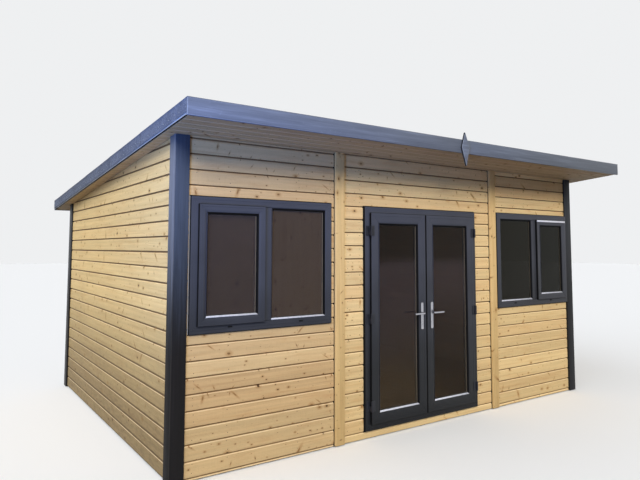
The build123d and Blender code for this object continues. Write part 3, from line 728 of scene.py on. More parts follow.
def mitred_bars(bm, section, low, high, groove=0.0, finishes=(0, 0, 0, 0), edge_finish=None):
    """Four bars of one section of (inset, y) points round a rectangle: bottom, right, top and left.

    Each bar is closed and cut at 45 degrees, and its cut edges may be eased, so that the mitres show.
    The faces round the outside of the rectangle may have a finish of their own."""
    (left, foot), (right, head) = low, high
    corners = [(left, foot, 1, 1), (right, foot, -1, 1), (right, head, -1, -1), (left, head, 1, -1)]
    axes = (0, 2, 0, 2)
    rims = (foot, right, head, left)
    for (x, z, inwards, upwards), axis, rim, finish in zip(corners, axes, rims, finishes):
        bar = bmesh.new()
        total = low[axis // 2] + high[axis // 2]
        for vert in extruded(bar, [(x + inwards * inset, y, z + upwards * inset) for inset, y in section]):
            vert.co[axis] = total - vert.co[axis]
        bmesh.ops.recalc_face_normals(bar, faces=bar.faces)
        if groove:
            ease(bar, mitre_edges(bar, len(section)), groove)
        for face in bar.faces:
            from_rim = abs(face.calc_center_median()[2 - axis] - rim)
            outside = edge_finish is not None and from_rim < RIM_REACH
            face.material_index = edge_finish if outside else finish
        add_to(bm, bar)


def placed(origin, along, across, out):
    """The matrix that takes (along, across, out) measures into the room's own axes."""
    columns = Matrix((along, across, out)).transposed().to_4x4()
    return Matrix.Translation(origin) @ columns


UP = (0, 0, 1)
FRONT_FACE = placed((0, FRONT + BOARD_THICKNESS, 0), (1, 0, 0), UP, (0, -1, 0))
BACK_FACE = placed((0, BACK - BOARD_THICKNESS, 0), (1, 0, 0), UP, (0, 1, 0))
LEFT_FACE = placed((LEFT + BOARD_THICKNESS, 0, 0), (0, 1, 0), UP, (-1, 0, 0))
RIGHT_FACE = placed((RIGHT - BOARD_THICKNESS, 0, 0), (0, 1, 0), UP, (1, 0, 0))
FRONT_LINING = placed((0, FRONT + WALL - LINING, 0), (1, 0, 0), UP, (0, 1, 0))
BACK_LINING = placed((0, BACK - WALL + LINING, 0), (1, 0, 0), UP, (0, -1, 0))
LEFT_LINING = placed((LEFT + WALL - LINING, 0, 0), (0, 1, 0), UP, (1, 0, 0))
RIGHT_LINING = placed((RIGHT - WALL + LINING, 0, 0), (0, 1, 0), UP, (-1, 0, 0))
DOWN_SLOPE = (0, math.cos(PITCH), -math.sin(PITCH))
OUT_OF_SOFFIT = (0, -math.sin(PITCH), -math.cos(PITCH))
OUT_OF_ROOF = (0, math.sin(PITCH), math.cos(PITCH))
DOOR_LOW, DOOR_HIGH = corner_low("door_threshold"), corner_high("door_head")
LEFT_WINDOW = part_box("left_window_frame")
RIGHT_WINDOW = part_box("right_window_frame")


# Walls, floor and soffits in boards
SCOOP_STEPS = 5
REBATE_PLAY = 0.001
GRAIN_SHEET = 60
SHORTEST_BOARD = 0.002
FLOOR_BOARD_COUNT = 31
SOFFIT_END_GAP = 0.0015
TOP_BOARD_IN_SOFFIT = 0.8

# A seed for each field of boards, so that its tones and grain are its own
LEFT_PANEL_SEED, CENTRE_PANEL_SEED, RIGHT_PANEL_SEED = 3, 5, 11
LEFT_WALL_SEED, RIGHT_WALL_SEED, BACK_WALL_SEED = 17, 19, 23
FLOOR_SEED, SOFFIT_SEED = 29, 31
LINING_SEED = 50

# Looks of single boards that stand out: their place up the wall, then tone and hue
LEFT_PANEL_LOOKS = {4: (0.35, 1.0), 5: (0.15, 1.0), 15: (0.75, 0.7), 16: (0.5, 0.95), 18: (0.5, 0.8)}
CENTRE_PANEL_LOOKS = {16: (0.45, 0.9), 18: (0.6, 0.2)}


def shiplap_profile(cover):
    """(height, depth) points of a board: square foot, flat face, scooped top, tongue behind the next one."""
    face, tongue = BOARD_THICKNESS, BOARD_THICKNESS - SCOOP
    lip = tongue + JOINT_GAP / 8
    points = [(0, lip), (0, face)]
    for step in range(SCOOP_STEPS + 1):
        turn = math.radians(90 * step / SCOOP_STEPS)
        height = cover - JOINT_GAP / 2 - SCOOP_HEIGHT * math.cos(turn)
        points.append((height, face - SCOOP * math.sin(turn)))
    foot = LAP + REBATE_PLAY
    return points + [(cover + LAP, tongue), (cover + LAP, 0), (foot, 0), (foot, lip)]


def matchboard_profile(cover, thickness):
    """(across, depth) points of a board with a V joint at each edge."""
    low, high, cut = MATCHBOARD_GAP / 2, cover - MATCHBOARD_GAP / 2, MATCHBOARD_CHAMFER
    return [(low, 0), (low, thickness - cut), (low + cut, thickness), (high - cut, thickness),
            (high, thickness - cut), (high, 0)]


class Board:
    """What one board has of its own: its wander, its stretch of grain, its tone and its hue."""

    def __init__(self, seed, index, look=None):
        luck = random.Random(seed * 1000 + index)
        self.wander = luck.uniform(-1, 1) * BOARD_WANDER
        self.shift = luck.uniform(0, GRAIN_SHEET), luck.uniform(0, GRAIN_SHEET)
        self.look = look or (luck.random(), luck.random())


def lay_grain(bm, own, face_depth, foot):
    """Map a board's grain, its tone and hue, and the depth below its face and the height over its foot."""
    grain = bm.loops.layers.uv.new("grain")
    tones = bm.loops.layers.uv.new("board")
    depths = bm.loops.layers.uv.new("depth")
    for face in bm.faces:
        for loop in face.loops:
            along, across, out = loop.vert.co
            loop[grain].uv = (along + own.shift[0], across + out + own.shift[1])
            loop[tones].uv = own.look
            loop[depths].uv = (face_depth - out, across - foot)


def lay_board(bm, to_world, profile, foot, span, own, cuts=()):
    """One board: its profile drawn along a span, in the wall's own (along, across, out) measures."""
    start, end = span
    if end - start < SHORTEST_BOARD:
        return
    part = bmesh.new()
    outline = [(start, foot + across, out) for across, out in profile]
    drawn_out(part, outline, (end - start, 0, 0))
    for point, normal in cuts:
        trim(part, point, normal)
    lay_grain(part, own, max(out for _, out in profile), foot)
    bmesh.ops.transform(part, matrix=to_world, verts=part.verts)
    bmesh.ops.recalc_face_normals(part, faces=part.faces)
    add_to(bm, part)


def below(level):
    """The cut that takes away what lies below a level on the wall."""
    return (0, level, 0), (0, -1, 0)


def above(level):
    return (0, level, 0), (0, 1, 0)


def clad(bm, to_world, profile, boards, span, levels, seed, hole=None, cuts=(), looks=None):
    """Boards over a wall, from level to level, cut round a hole of (start, end, low, high)."""
    joint, cover = boards
    low, high = levels
    first = math.floor((low - joint) / cover)
    last = math.ceil((high - joint) / cover)
    for index in range(first, last):
        own = Board(seed, index, (looks or {}).get(index))
        foot = joint + index * cover + own.wander
        ends = list(cuts)
        if foot < low:
            ends.append(below(low))
        if foot + cover + LAP > high:
            ends.append(above(high))
        if not hole or foot + cover <= hole[2] or foot >= hole[3]:
            lay_board(bm, to_world, profile, foot, span, own, ends)
        else:
            for stretch in ((span[0], hole[0]), (hole[1], span[1])):
                lay_board(bm, to_world, profile, foot, stretch, own, ends)
            for level, side in ((hole[2], above), (hole[3], below)):
                if foot < level < foot + cover:
                    lay_board(bm, to_world, profile, foot, (hole[0], hole[1]), own, ends + [side(level)])


def hole_of(box):
    low, high = box
    return (low.x, high.x, low.z, high.z)


def shiplap(node, finish, face, boards, span, levels, seed, made="_boards", **how):
    """The shiplap over one part of a wall, in place of its solid."""
    bm = bmesh.new()
    clad(bm, face, shiplap_profile(boards[1]), boards, span, levels, seed, **how)
    piece(node + made, bm, [finish], instead_of=[node])


def lining(node, face, span, levels, seed, **how):
    """The matchboards inside one part of a wall."""
    bm = bmesh.new()
    profile = matchboard_profile(MATCHBOARD_COVER, LINING)
    clad(bm, face, profile, (0, MATCHBOARD_COVER), span, levels, seed + LINING_SEED, **how)
    piece(node + "_lining", bm, [pine_lining])


def wall_frame(node, *cuts):
    """The framing between the cladding and the lining of a wall, where a reveal shows it."""
    bm = merged_copy(node)
    for point, normal in cuts:
        trim(bm, point, normal)
    piece(node + "_framing", bm, [framing_wood], instead_of=[node])


def front_walls():
    """The five parts of the front wall: boards outside, framing, matchboards inside."""
    door_left, door_right = DOOR_LOW.x, DOOR_HIGH.x
    left = (pine_left, LEFT_PANEL_BOARDS, LEFT_PANEL_SEED, LEFT_PANEL_LOOKS)
    centre = (pine_boards, CENTRE_PANEL_BOARDS, CENTRE_PANEL_SEED, CENTRE_PANEL_LOOKS)
    right = (pine_boards, RIGHT_PANEL_BOARDS, RIGHT_PANEL_SEED, None)
    parts = [("front_wall_left_panel", (LEFT, LEFT_JOINT), hole_of(LEFT_WINDOW), 0, *left),
             ("front_wall_beside_door_left", (LEFT_JOINT, door_left), None, 0, *centre),
             ("front_wall_over_door", (door_left, door_right), None, DOOR_HIGH.z, *centre),
             ("front_wall_beside_door_right", (door_right, RIGHT_JOINT), None, 0, *centre),
             ("front_wall_right_panel", (RIGHT_JOINT, RIGHT), hole_of(RIGHT_WINDOW), 0, *right)]
    top = EAVES + LINING - CLADDING * SLOPE
    inner_top = soffit_z(FRONT + WALL)
    outside = ((0, FRONT + CLADDING, 0), (0, -1, 0))
    inside = ((0, FRONT + WALL - LINING, 0), (0, 1, 0))
    for node, span, hole, bottom, finish, boards, seed, looks in parts:
        levels = (max(bottom, CLADDING_START), top)
        shiplap(node, finish, FRONT_FACE, boards, span, levels, seed, hole=hole, looks=looks)
        inner_span = (max(span[0], LEFT + WALL), min(span[1], RIGHT - WALL))
        lining(node, FRONT_LINING, inner_span, (max(bottom, FLOOR_TOP), inner_top), seed, hole=hole)
        wall_frame(node, outside, inside)
    shiplap("board_under_door", pine_boards, FRONT_FACE, CENTRE_PANEL_BOARDS, (door_left, door_right),
            (CLADDING_START, FLOOR_TOP), CENTRE_PANEL_SEED, made="_planed")


def other_walls():
    """The side walls between the front and back ones, and the back wall."""
    span = (FRONT + WALL, BACK - WALL)
    lid = LINING * TOP_BOARD_IN_SOFFIT

    def roof_cut(lift):
        """A plane just over the soffit's underside, in a side wall's measures."""
        return (FRONT, EAVES + lift, 0), (math.sin(PITCH), math.cos(PITCH), 0)

    sides = [("left_wall", LEFT_FACE, LEFT_LINING, LEFT, 1, LEFT_WALL_SEED, pine_side),
             ("right_wall", RIGHT_FACE, RIGHT_LINING, RIGHT, -1, RIGHT_WALL_SEED, pine_rear)]
    for node, face, inner_face, outer, inwards, seed, finish in sides:
        levels = (CLADDING_START, EAVES + lid)
        shiplap(node, finish, face, SIDE_WALL_BOARDS, span, levels, seed, cuts=[roof_cut(lid)])
        lining(node, inner_face, span, (FLOOR_TOP, EAVES), seed, cuts=[roof_cut(0)])
        outside = ((outer + inwards * CLADDING, 0, 0), (-inwards, 0, 0))
        inside = ((outer + inwards * (WALL - LINING), 0, 0), (inwards, 0, 0))
        wall_frame(node, outside, inside)

    levels = (CLADDING_START, soffit_z(BACK) + lid)
    shiplap("back_wall", pine_rear, BACK_FACE, SIDE_WALL_BOARDS, (LEFT, RIGHT), levels, BACK_WALL_SEED)
    levels = (FLOOR_TOP, soffit_z(BACK - WALL))
    lining("back_wall", BACK_LINING, (LEFT + WALL, RIGHT - WALL), levels, BACK_WALL_SEED)
    outside = ((0, BACK - CLADDING, 0), (0, 1, 0))
    inside = ((0, BACK - WALL + LINING, 0), (0, -1, 0))
    wall_frame("back_wall", outside, inside)


def floor_boards():
    """Boards from side to side of the room, on the bearers."""
    low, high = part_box("floor_deck")
    depth = high.y - low.y
    cover = depth / FLOOR_BOARD_COUNT
    to_world = placed((0, low.y, low.z), (1, 0, 0), (0, 1, 0), UP)
    profile = matchboard_profile(cover, high.z - low.z)
    bm = bmesh.new()
    clad(bm, to_world, profile, (0, cover), (low.x, high.x), (0, depth), FLOOR_SEED)
    piece("floor_deck_boards", bm, [floor_wood], instead_of=["floor_deck"])


def soffit_boards():
    """Matchboards under the roof, laid parallel to the front, in the five fields that show."""
    profile = matchboard_profile(MATCHBOARD_COVER, LINING * math.cos(PITCH))
    fields = ("soffit_front", "soffit_back", "soffit_left", "soffit_right", "ceiling")
    for seed, name in enumerate(fields, SOFFIT_SEED):
        low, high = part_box(name)
        origin = (0, low.y, soffit_z(low.y) + LINING)
        to_world = placed(origin, (1, 0, 0), DOWN_SLOPE, OUT_OF_SOFFIT)
        levels = (0, (high.y - low.y) / math.cos(PITCH) - SOFFIT_END_GAP)
        bm = bmesh.new()
        clad(bm, to_world, profile, (0, MATCHBOARD_COVER), (low.x, high.x), levels, seed)
        finish = pine_lining if name == "ceiling" else pine_soffit
        piece(name + "_boards", bm, [finish], instead_of=[name])


front_walls()
other_walls()
floor_boards()
soffit_boards()


# Nails, one or two through each board where it crosses a post
NAIL_RADIUS = 0.0036
NAIL_HEAD = 0.0008
NAIL_SINK = 0.0006
NAIL_RISE = 0.030
NAIL_DRIFT = 0.006
NAIL_SHARE = 0.72
NAILS_FROM_HOLE = 0.02
NAILS_FROM_EDGE = 0.045
NAILS_FROM_SOFFIT = 0.01
NAILS_FROM_SIDE_TRIM = 0.03
NAILS_IN_WINDOW = 0.33
NAILS_IN_DOOR = 0.5
STRIP_HALF = 0.050
TRIM_REACH = 0.12
SIDE_POST_GAPS = 6
BACK_POST_GAPS = 8
NAIL_SEED = 41


def add_nail(bm, to_world, along, across, out, radius=NAIL_RADIUS, height=NAIL_HEAD):
    part = bmesh.new()
    place = to_world @ Matrix.Translation((along, across, out + height / 2))
    bmesh.ops.create_cone(part, cap_ends=True, segments=8, radius1=radius, radius2=radius * 0.8, depth=height,
                          matrix=place)
    add_to(bm, part)


def near_hole(hole, along, across):
    """Whether a nail would stand in a hole, or too close to its edge."""
    start, end, low, high = hole
    beside = start - NAILS_FROM_HOLE < along < end + NAILS_FROM_HOLE
    return beside and low - NAILS_FROM_HOLE < across < high + NAILS_FROM_HOLE


def nail_boards(name, to_world, boards, posts, top, hole, seed):
    """Nails over one field of boards, at its posts, but not where a hole is."""
    joint, cover = boards
    luck = random.Random(seed)
    bm = bmesh.new()
    first = math.ceil((CLADDING_START - joint) / cover)
    last = math.floor((top - joint) / cover)
    for index in range(first, last):
        for post in posts:
            for rise in (NAIL_RISE, cover - NAIL_RISE * 1.1):
                across = joint + index * cover + rise + luck.uniform(-1, 1) * NAIL_DRIFT
                along = post + luck.uniform(-1, 1) * NAIL_DRIFT
                if not (hole and near_hole(hole, along, across)) and luck.random() < NAIL_SHARE:
                    add_nail(bm, to_world, along, across, BOARD_THICKNESS - NAIL_SINK)
    rounded(piece(name, bm, [nail_metal]))


def evenly(start, end, gaps):
    return [start + step * (end - start) / gaps for step in range(gaps + 1)]


def nails():
    """Nails in each field of boards, over the posts behind it."""
    edge = NAILS_FROM_EDGE
    beside_strip, beside_trim = STRIP_HALF + edge, TRIM_REACH + edge
    left_posts = [LEFT + beside_trim, LEFT_WINDOW[0].x + NAILS_IN_WINDOW,
                  LEFT_WINDOW[1].x - NAILS_IN_WINDOW, LEFT_JOINT - beside_strip]
    centre_posts = [LEFT_JOINT + beside_strip, DOOR_LOW.x - edge, DOOR_LOW.x + NAILS_IN_DOOR,
                    DOOR_HIGH.x - NAILS_IN_DOOR, DOOR_HIGH.x + edge, RIGHT_JOINT - beside_strip]
    right_posts = [RIGHT_JOINT + beside_strip, RIGHT_WINDOW[0].x + NAILS_IN_WINDOW,
                   RIGHT_WINDOW[1].x - NAILS_IN_WINDOW, RIGHT - beside_trim]
    side_in = WALL + edge + NAILS_FROM_SIDE_TRIM
    side_posts = evenly(FRONT + side_in, BACK - side_in, SIDE_POST_GAPS)
    back_posts = evenly(LEFT + WALL + edge, RIGHT - WALL - edge, BACK_POST_GAPS)
    door_hole = (DOOR_LOW.x, DOOR_HIGH.x, 0.0, DOOR_HIGH.z)
    front_top, side_top = EAVES - NAILS_FROM_SOFFIT, soffit_z(BACK) - NAILS_FROM_SOFFIT
    fields = [("left_panel", FRONT_FACE, LEFT_PANEL_BOARDS, left_posts, front_top, hole_of(LEFT_WINDOW)),
              ("centre_panel", FRONT_FACE, CENTRE_PANEL_BOARDS, centre_posts, front_top, door_hole),
              ("right_panel", FRONT_FACE, RIGHT_PANEL_BOARDS, right_posts, front_top, hole_of(RIGHT_WINDOW)),
              ("left_wall", LEFT_FACE, SIDE_WALL_BOARDS, side_posts, side_top, None),
              ("right_wall", RIGHT_FACE, SIDE_WALL_BOARDS, side_posts, side_top, None),
              ("back_wall", BACK_FACE, SIDE_WALL_BOARDS, back_posts, side_top, None)]
    for seed, (name, *field) in enumerate(fields, NAIL_SEED):
        nail_boards(name + "_nails", *field, seed)


nails()


# Trims, strips, fascias and finial
CORNERS = ("front_left", "front_right", "back_left", "back_right")
TRIM_ARRIS = 0.0022
STRIP_ARRIS = 0.001
FASCIA_ARRIS = 0.003
RAKE_ARRIS = 0.007
FELT_HANG = 0.007
STRIP_SHADOW = 0.007
TRIM_SHADOW = 0.006
SHADOW_DEPTH = 0.010
SHADOW_PROUD = 0.0006
SHADOW_SHORT = 0.004
SHADOW_LAP = 0.001
PALE_BEAD_START, PALE_BEAD_END = 0.0062, 0.0004
PALE_BEAD_PROUD, PALE_BEAD_DEEP = 0.006, 0.009


def corner_trims():
    """Four posts, their arrises paler as wear and painted highlight. The near one takes painted light from
    the sky, paler and bluer upwards and most of all on its side; the others have a darker paint as painted
    shade.
    """
    for place in CORNERS:
        front, side = (dark_trim, trim_side) if place == "front_left" else (trim_shaded, trim_shaded)
        post = dressed("corner_trim_" + place, [front, worn_arris_highlight, side], arris=TRIM_ARRIS)
        paint_faces(post, 2, lambda face: abs(face.normal.x) > 0.9)


def strips_and_fascias():
    """The cover strips over the panel joints, the fascias with their arrises paler as wear and painted
    highlight, and the finial with painted shade on its edges.
    """
    paints = [fascia_paint, fascia_arris_highlight]
    for side in ("left", "right"):
        dressed("cover_strip_" + side, [pine_strip], arris=STRIP_ARRIS)
        dressed("fascia_" + side, paints, arris=FASCIA_ARRIS)
    dressed("fascia_back", paints, arris=FASCIA_ARRIS)
    finial = dressed("finial", paints + [trim_shaded])
    paint_faces(finial, 2, lambda face: abs(face.normal.y) < 0.5)


def strip_gaps():
    """A black block as painted shadow in the gap between each cover strip and the boards on its left."""
    bm = bmesh.new()
    for side in ("left", "right"):
        low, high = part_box("cover_strip_" + side)
        block(bm, (low.x - STRIP_SHADOW, FRONT - SHADOW_LAP, low.z),
              (low.x + SHADOW_LAP, FRONT + SHADOW_DEPTH, high.z - SHADOW_SHORT))
    piece("cover_strip_gaps", bm, [rubber_and_shadow])


def trim_gaps():
    """Black blocks as painted shadow in the gaps along the corner trims, where the ends of the boards meet
    them.
    """
    bm = bmesh.new()
    through = SHADOW_DEPTH + SHADOW_PROUD
    for place in CORNERS:
        low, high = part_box("corner_trim_" + place)
        x = high.x if "left" in place else low.x - TRIM_SHADOW
        y = high.y if "front" in place else low.y - TRIM_SHADOW
        wall_x = LEFT - SHADOW_PROUD if "left" in place else RIGHT - SHADOW_DEPTH
        wall_y = FRONT - SHADOW_PROUD if "front" in place else BACK - SHADOW_DEPTH
        top = min(soffit_z(y), high.z) - SHADOW_SHORT
        block(bm, (x, wall_y, low.z), (x + TRIM_SHADOW, wall_y + through, top))
        block(bm, (wall_x, y, low.z), (wall_x + through, y + TRIM_SHADOW, top))
    piece("corner_trim_gaps", bm, [rubber_and_shadow])


def frame_sealant_highlight():
    """A pale bead of sealant between the boards and the left window's frame, beside the corner trim, which
    also stands for the sunlit edge of the boards as painted highlight.
    """
    low, high = LEFT_WINDOW
    bm = bmesh.new()
    block(bm, (low.x - PALE_BEAD_START, FRONT - PALE_BEAD_PROUD, low.z),
          (low.x - PALE_BEAD_END, FRONT + PALE_BEAD_DEEP, high.z), EASED, 2)
    piece("left_window_sealant", bm, [pale_sealant_highlight])


def rake_boards():
    """Rake boards, recessed a little behind the felt that hangs over them, in a pale paint that is partly
    painted highlight, with a painted shadow in black on their lower edge.
    """
    for side, outer, outwards in (("left", ROOF_LEFT, -1), ("right", ROOF_RIGHT, 1)):
        cut = ((outer - outwards * FELT_HANG, 0, 0), (outwards, 0, 0))
        board = dressed("rake_board_" + side, [rake_paint, rubber_and_shadow], arris=RAKE_ARRIS,
                        segments=1, cut=cut)
        paint_faces(board, 0, lambda face: face.normal.z > -0.2)


corner_trims()
strips_and_fascias()
strip_gaps()
trim_gaps()
frame_sealant_highlight()
rake_boards()


# Timber that stays as it is: only its finish is given
def give_finish(node, material):
    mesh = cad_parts[node].data
    mesh.materials.clear()
    mesh.materials.append(material)


give_finish("floor_bearers", treated_wood)
give_finish("rafters", framing_wood)
give_finish("roof_deck", framing_wood)


# Windows
FRAME_FACE = LEFT_WINDOW[0].y
SASH_FACE = corner_low("left_window_casement").y
FRAME_BACK = FRAME_FACE + PROFILE_DEPTH
MITRE = 0.0011
BEAD_MITRE = 0.0005
GROOVE_AT = 0.36
GROOVE_SLOPE = 0.0012
GROOVE_FLAT = 0.0030
GROOVE_DEPTH = 0.0016
BAND_SHARE = 0.30
BAND_SLOPE = 0.0015
BAND_STEP = 0.0022
BEAD_NOSE = 0.003
BEAD_SLANT, BEAD_EDGE = 0.0006, 0.002
GASKET_LIP = 0.0005
SPACER_SHOWS = 0.004
INNER_BEAD_LIP, INNER_BEAD_DEPTH = 0.004, 0.012
PANE_PLAY = 0.001
SEAL = 0.003
SEAL_INSET = 0.0025
SEALANT_SPREAD = 0.005
DOOR_SEALANT_SPREAD = 0.006
SEALANT_DEEP, SEALANT_PROUD, SEALANT_THIN = 0.010, 0.005, 0.0008
SMALL_ARRIS = 0.0007
PLATE_ARRIS = 0.0006
LEVER_ARRIS = 0.0008


def frame_section(width):
    """A fixed frame: eased outer edge, a shallow groove along the face and a chamfer to the glass."""
    face, cut = FRAME_FACE, PROFILE_CHAMFER
    sunk, near = face + GROOVE_DEPTH, width * GROOVE_AT
    far = near + GROOVE_SLOPE + GROOVE_FLAT
    return [(0, face + cut / 2), (cut / 2, face), (near, face), (near + GROOVE_SLOPE, sunk), (far, sunk),
            (far + GROOVE_SLOPE, face), (width - cut, face), (width, face + cut)]


def sash_section(width, flange_to, body_to, setback):
    """An opening frame: a raised outer band, a sunk face and a slope down to the beads."""
    face, cut = SASH_FACE, PROFILE_CHAMFER
    band = width * BAND_SHARE
    points = [(0, face + cut / 2), (cut / 2, face), (band, face), (band + BAND_SLOPE, face + BAND_STEP),
              (width - 3.4 * cut, face + BAND_STEP), (width - 2.6 * cut, face + cut / 1.6),
              (width - cut / 3, face + 1.5 * cut), (width, face + 1.9 * cut)]
    return points + [(width, body_to), (setback, body_to), (setback, flange_to), (0, flange_to)]


def bead_section(start, glass_face):
    """A sloped bead outside the glass, with a rounded nose."""
    end, lip, deep = start + BEAD_WIDTH, glass_face - BEAD_LIP, glass_face - BEAD_DEPTH
    return [(start, glass_face - GASKET), (end - GASKET, glass_face - GASKET), (end - GASKET, lip),
            (end - BEAD_NOSE, lip - BEAD_NOSE), (start + BEAD_NOSE, deep + BEAD_SLANT),
            (start, deep + BEAD_EDGE)]


def gasket_section(inset, glass_face):
    """The thin rubber that shows between a bead and the glass."""
    start, lip = inset - GASKET * 2, inset + GASKET_LIP
    return [(start, glass_face), (inset, glass_face), (lip, glass_face - GASKET * 0.7),
            (start, glass_face - GASKET)]


def spacer_section(inset, glass_face):
    """The metal bar between the two panes, just inside the beads."""
    start, end = inset - SPACER, inset + SPACER_SHOWS
    near, far = glass_face + PANE, glass_face + GLASS_THICKNESS - PANE
    return [(start, near), (end, near), (end, far), (start, far)]


def inner_bead_section(start, glass_back):
    """The plain edge inside the room that the glass is bedded against."""
    end = start + BEAD_WIDTH
    return [(start, glass_back), (end, glass_back), (end, glass_back + INNER_BEAD_LIP),
            (start, glass_back + INNER_BEAD_DEPTH)]


def seen_flat(box):
    """The (x, z) corners of a box."""
    low, high = box
    return (low.x, low.z), (high.x, high.z)


def ring(name, section, low, high, material=rubber_and_shadow, slot="bead_plastic", body=HOUSE):
    """A plain section run round a rectangle, as one piece."""
    bm = bmesh.new()
    mitred_bars(bm, section, low, high)
    piece(name, bm, [material], body)


def frame_bars(name, section, low, high, instead_of, body=HOUSE, upright=None):
    """A frame in foiled plastic with open mitres, its outer edge black as painted shade, and an upright if it
    has one.
    """
    bm = bmesh.new()
    mitred_bars(bm, section, low, high, MITRE, edge_finish=1)
    if upright:
        add_to(bm, upright)
    rounded(piece(name, bm, [frame_plastic, rubber_and_shadow], body, instead_of), 20)


def pane(name, low, high, near, material, body, instead_of=()):
    """A sheet of glass, mapped by the distance from its right edge."""
    bm = bmesh.new()
    block(bm, (low[0] + PANE_PLAY, near, low[1] + PANE_PLAY),
          (high[0] - PANE_PLAY, near + PANE, high[1] - PANE_PLAY))
    places = bm.loops.layers.uv.new("pane")
    for face in bm.faces:
        for loop in face.loops:
            loop[places].uv = (high[0] - BEAD_WIDTH - loop.vert.co.x, loop.vert.co.z - low[1])
    piece(name, bm, [material], body, instead_of)


def glazed_light(name, low, high, glass_face, body=HOUSE, instead_of=(), bead_for=()):
    """Panes, spacer, gasket and beads of one light. Low and high are the (x, z) corners of its opening."""
    back = glass_face + GLASS_THICKNESS
    pane(name + "_outer_pane", low, high, glass_face, outer_glass, body, instead_of)
    pane(name + "_inner_pane", low, high, back - PANE, inner_glass, body)
    ring(name + "_spacer", spacer_section(BEAD_WIDTH, glass_face), low, high, spacer_metal, "chrome", body)
    bm = bmesh.new()
    # The bottom bead pale as a painted reflection of the sky, the right and top beads black as painted shade
    mitred_bars(bm, bead_section(0, glass_face), low, high, BEAD_MITRE, (1, 2, 2, 0))
    mitred_bars(bm, inner_bead_section(0, back), low, high, BEAD_MITRE)
    finishes = [bead_plastic, bright_bead, rubber_and_shadow]
    rounded(piece(name + "_beads", bm, finishes, body, bead_for))
    ring(name + "_gasket", gasket_section(BEAD_WIDTH, glass_face), low, high, body=body)


def sash(name, box, width, flange_to, body_to, setback, body, instead_of):
    """An opening frame with its weather seal. Returns the (x, z) corners of its glass opening."""
    low, high = seen_flat(box)
    near = flange_to - SEAL
    frame_bars(name, sash_section(width, near, body_to, setback), low, high, instead_of, body)
    seal = [(SEAL_INSET, near), (setback, near), (setback, flange_to), (SEAL_INSET, flange_to)]
    ring(name + "_seal", seal, low, high, body=body)
    return (low[0] + width, low[1] + width), (high[0] - width, high[1] - width)


def sealant(name, box, spread=SEALANT_SPREAD):
    """The dark bead of sealant round a frame, where it meets the boards."""
    back, front, edge = FRONT + SEALANT_DEEP, FRONT - SEALANT_PROUD, FRONT - SEALANT_THIN
    ring(name, [(-spread, back), (0.0, back), (0.0, front), (-spread, edge)], *seen_flat(box))


def mullion(middle, foot, head):
    """The upright between the two lights of a window, its face chamfered on both sides."""
    half, cut = MULLION_WIDTH / 2, PROFILE_CHAMFER
    outline = [(-half, FRAME_FACE + cut), (cut - half, FRAME_FACE), (half - cut, FRAME_FACE),
               (half, FRAME_FACE + cut), (half, FRAME_BACK), (-half, FRAME_BACK)]
    bm = bmesh.new()
    drawn_out(bm, [(middle + x, y, foot) for x, y in outline], (0, 0, head - foot))
    level = [edge for edge in bm.edges if abs(edge.verts[0].co.z - edge.verts[1].co.z) < SAME_LEVEL]
    ease(bm, level, MITRE)
    return bm


# Caps over the drains, where the photo shows them along the sills of the windows
LEFT_CAPS = (-2.058, -1.413)
RIGHT_CAPS = (1.412, 2.068)
CAP_HALF = 0.019
CAP_LOW, CAP_HIGH = 0.034, 0.046
CAP_PROUD = 0.004
CAP_SUNK = 0.001
CAP_ARRIS = 0.002


def drain_caps(name, places, sill):
    bm = bmesh.new()
    for x in places:
        block(bm, (x - CAP_HALF, FRAME_FACE - CAP_PROUD, sill + CAP_LOW),
              (x + CAP_HALF, FRAME_FACE + CAP_SUNK, sill + CAP_HIGH), CAP_ARRIS, 2)
    rounded(piece(name + "_drain_caps", bm, [rubber_and_shadow]))


def window(name, box, casement_side, caps):
    """A two-light window: frame and mullion, a fixed light, a casement, and the caps over its drains."""
    low, high = seen_flat(box)
    middle, half = (low[0] + high[0]) / 2 + MULLION_SHIFT, MULLION_WIDTH / 2
    foot, head = low[1] + FRAME_WIDTH, high[1] - FRAME_WIDTH
    section = frame_section(FRAME_WIDTH) + [(FRAME_WIDTH, FRAME_BACK), (0, FRAME_BACK)]
    upright = mullion(middle, foot, head)
    frame_bars(name + "_frame_bars", section, low, high, [name + "_frame"], upright=upright)
    sealant(name + "_sealant", box)

    if casement_side == "left":
        start, end = middle + half, high[0] - FRAME_WIDTH
    else:
        start, end = low[0] + FRAME_WIDTH, middle - half
    glazed_light(name + "_fixed", (start, foot), (end, head), FRAME_FACE + GLASS_SET_IN,
                 instead_of=[name + "_glass"], bead_for=[name + "_beads"])
    opening = sash(name + "_casement_bars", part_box(name + "_casement"), SASH_WIDTH, FRAME_FACE,
                   FRAME_BACK - SASH_STOP, SASH_OVERLAP, HOUSE, [name + "_casement"])
    glazed_light(name + "_opening", *opening, SASH_FACE + GLASS_SET_IN)
    dressed(name + "_handle", [white_lacquer], arris=SMALL_ARRIS)
    drain_caps(name, caps, low[1])


DRIP_BAR_HEIGHT = 0.022
DRIP_BAR_PROUD = 0.010
DRIP_BAR_SUNK = 0.003
DRIP_BAR_MARGIN = 0.004
DRIP_BAR_ARRIS = 0.004


def drip_bar():
    """The pale bar along the head of the right casement, its paleness a painted reflection of the sky."""
    low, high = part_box("right_window_casement")
    top = high.z - DRIP_BAR_MARGIN
    bm = bmesh.new()
    block(bm, (low.x + DRIP_BAR_MARGIN, SASH_FACE - DRIP_BAR_PROUD, top - DRIP_BAR_HEIGHT),
          (high.x - DRIP_BAR_MARGIN, SASH_FACE + DRIP_BAR_SUNK, top), DRIP_BAR_ARRIS, 3)
    rounded(piece("right_window_drip_bar", bm, [bright_bead]))


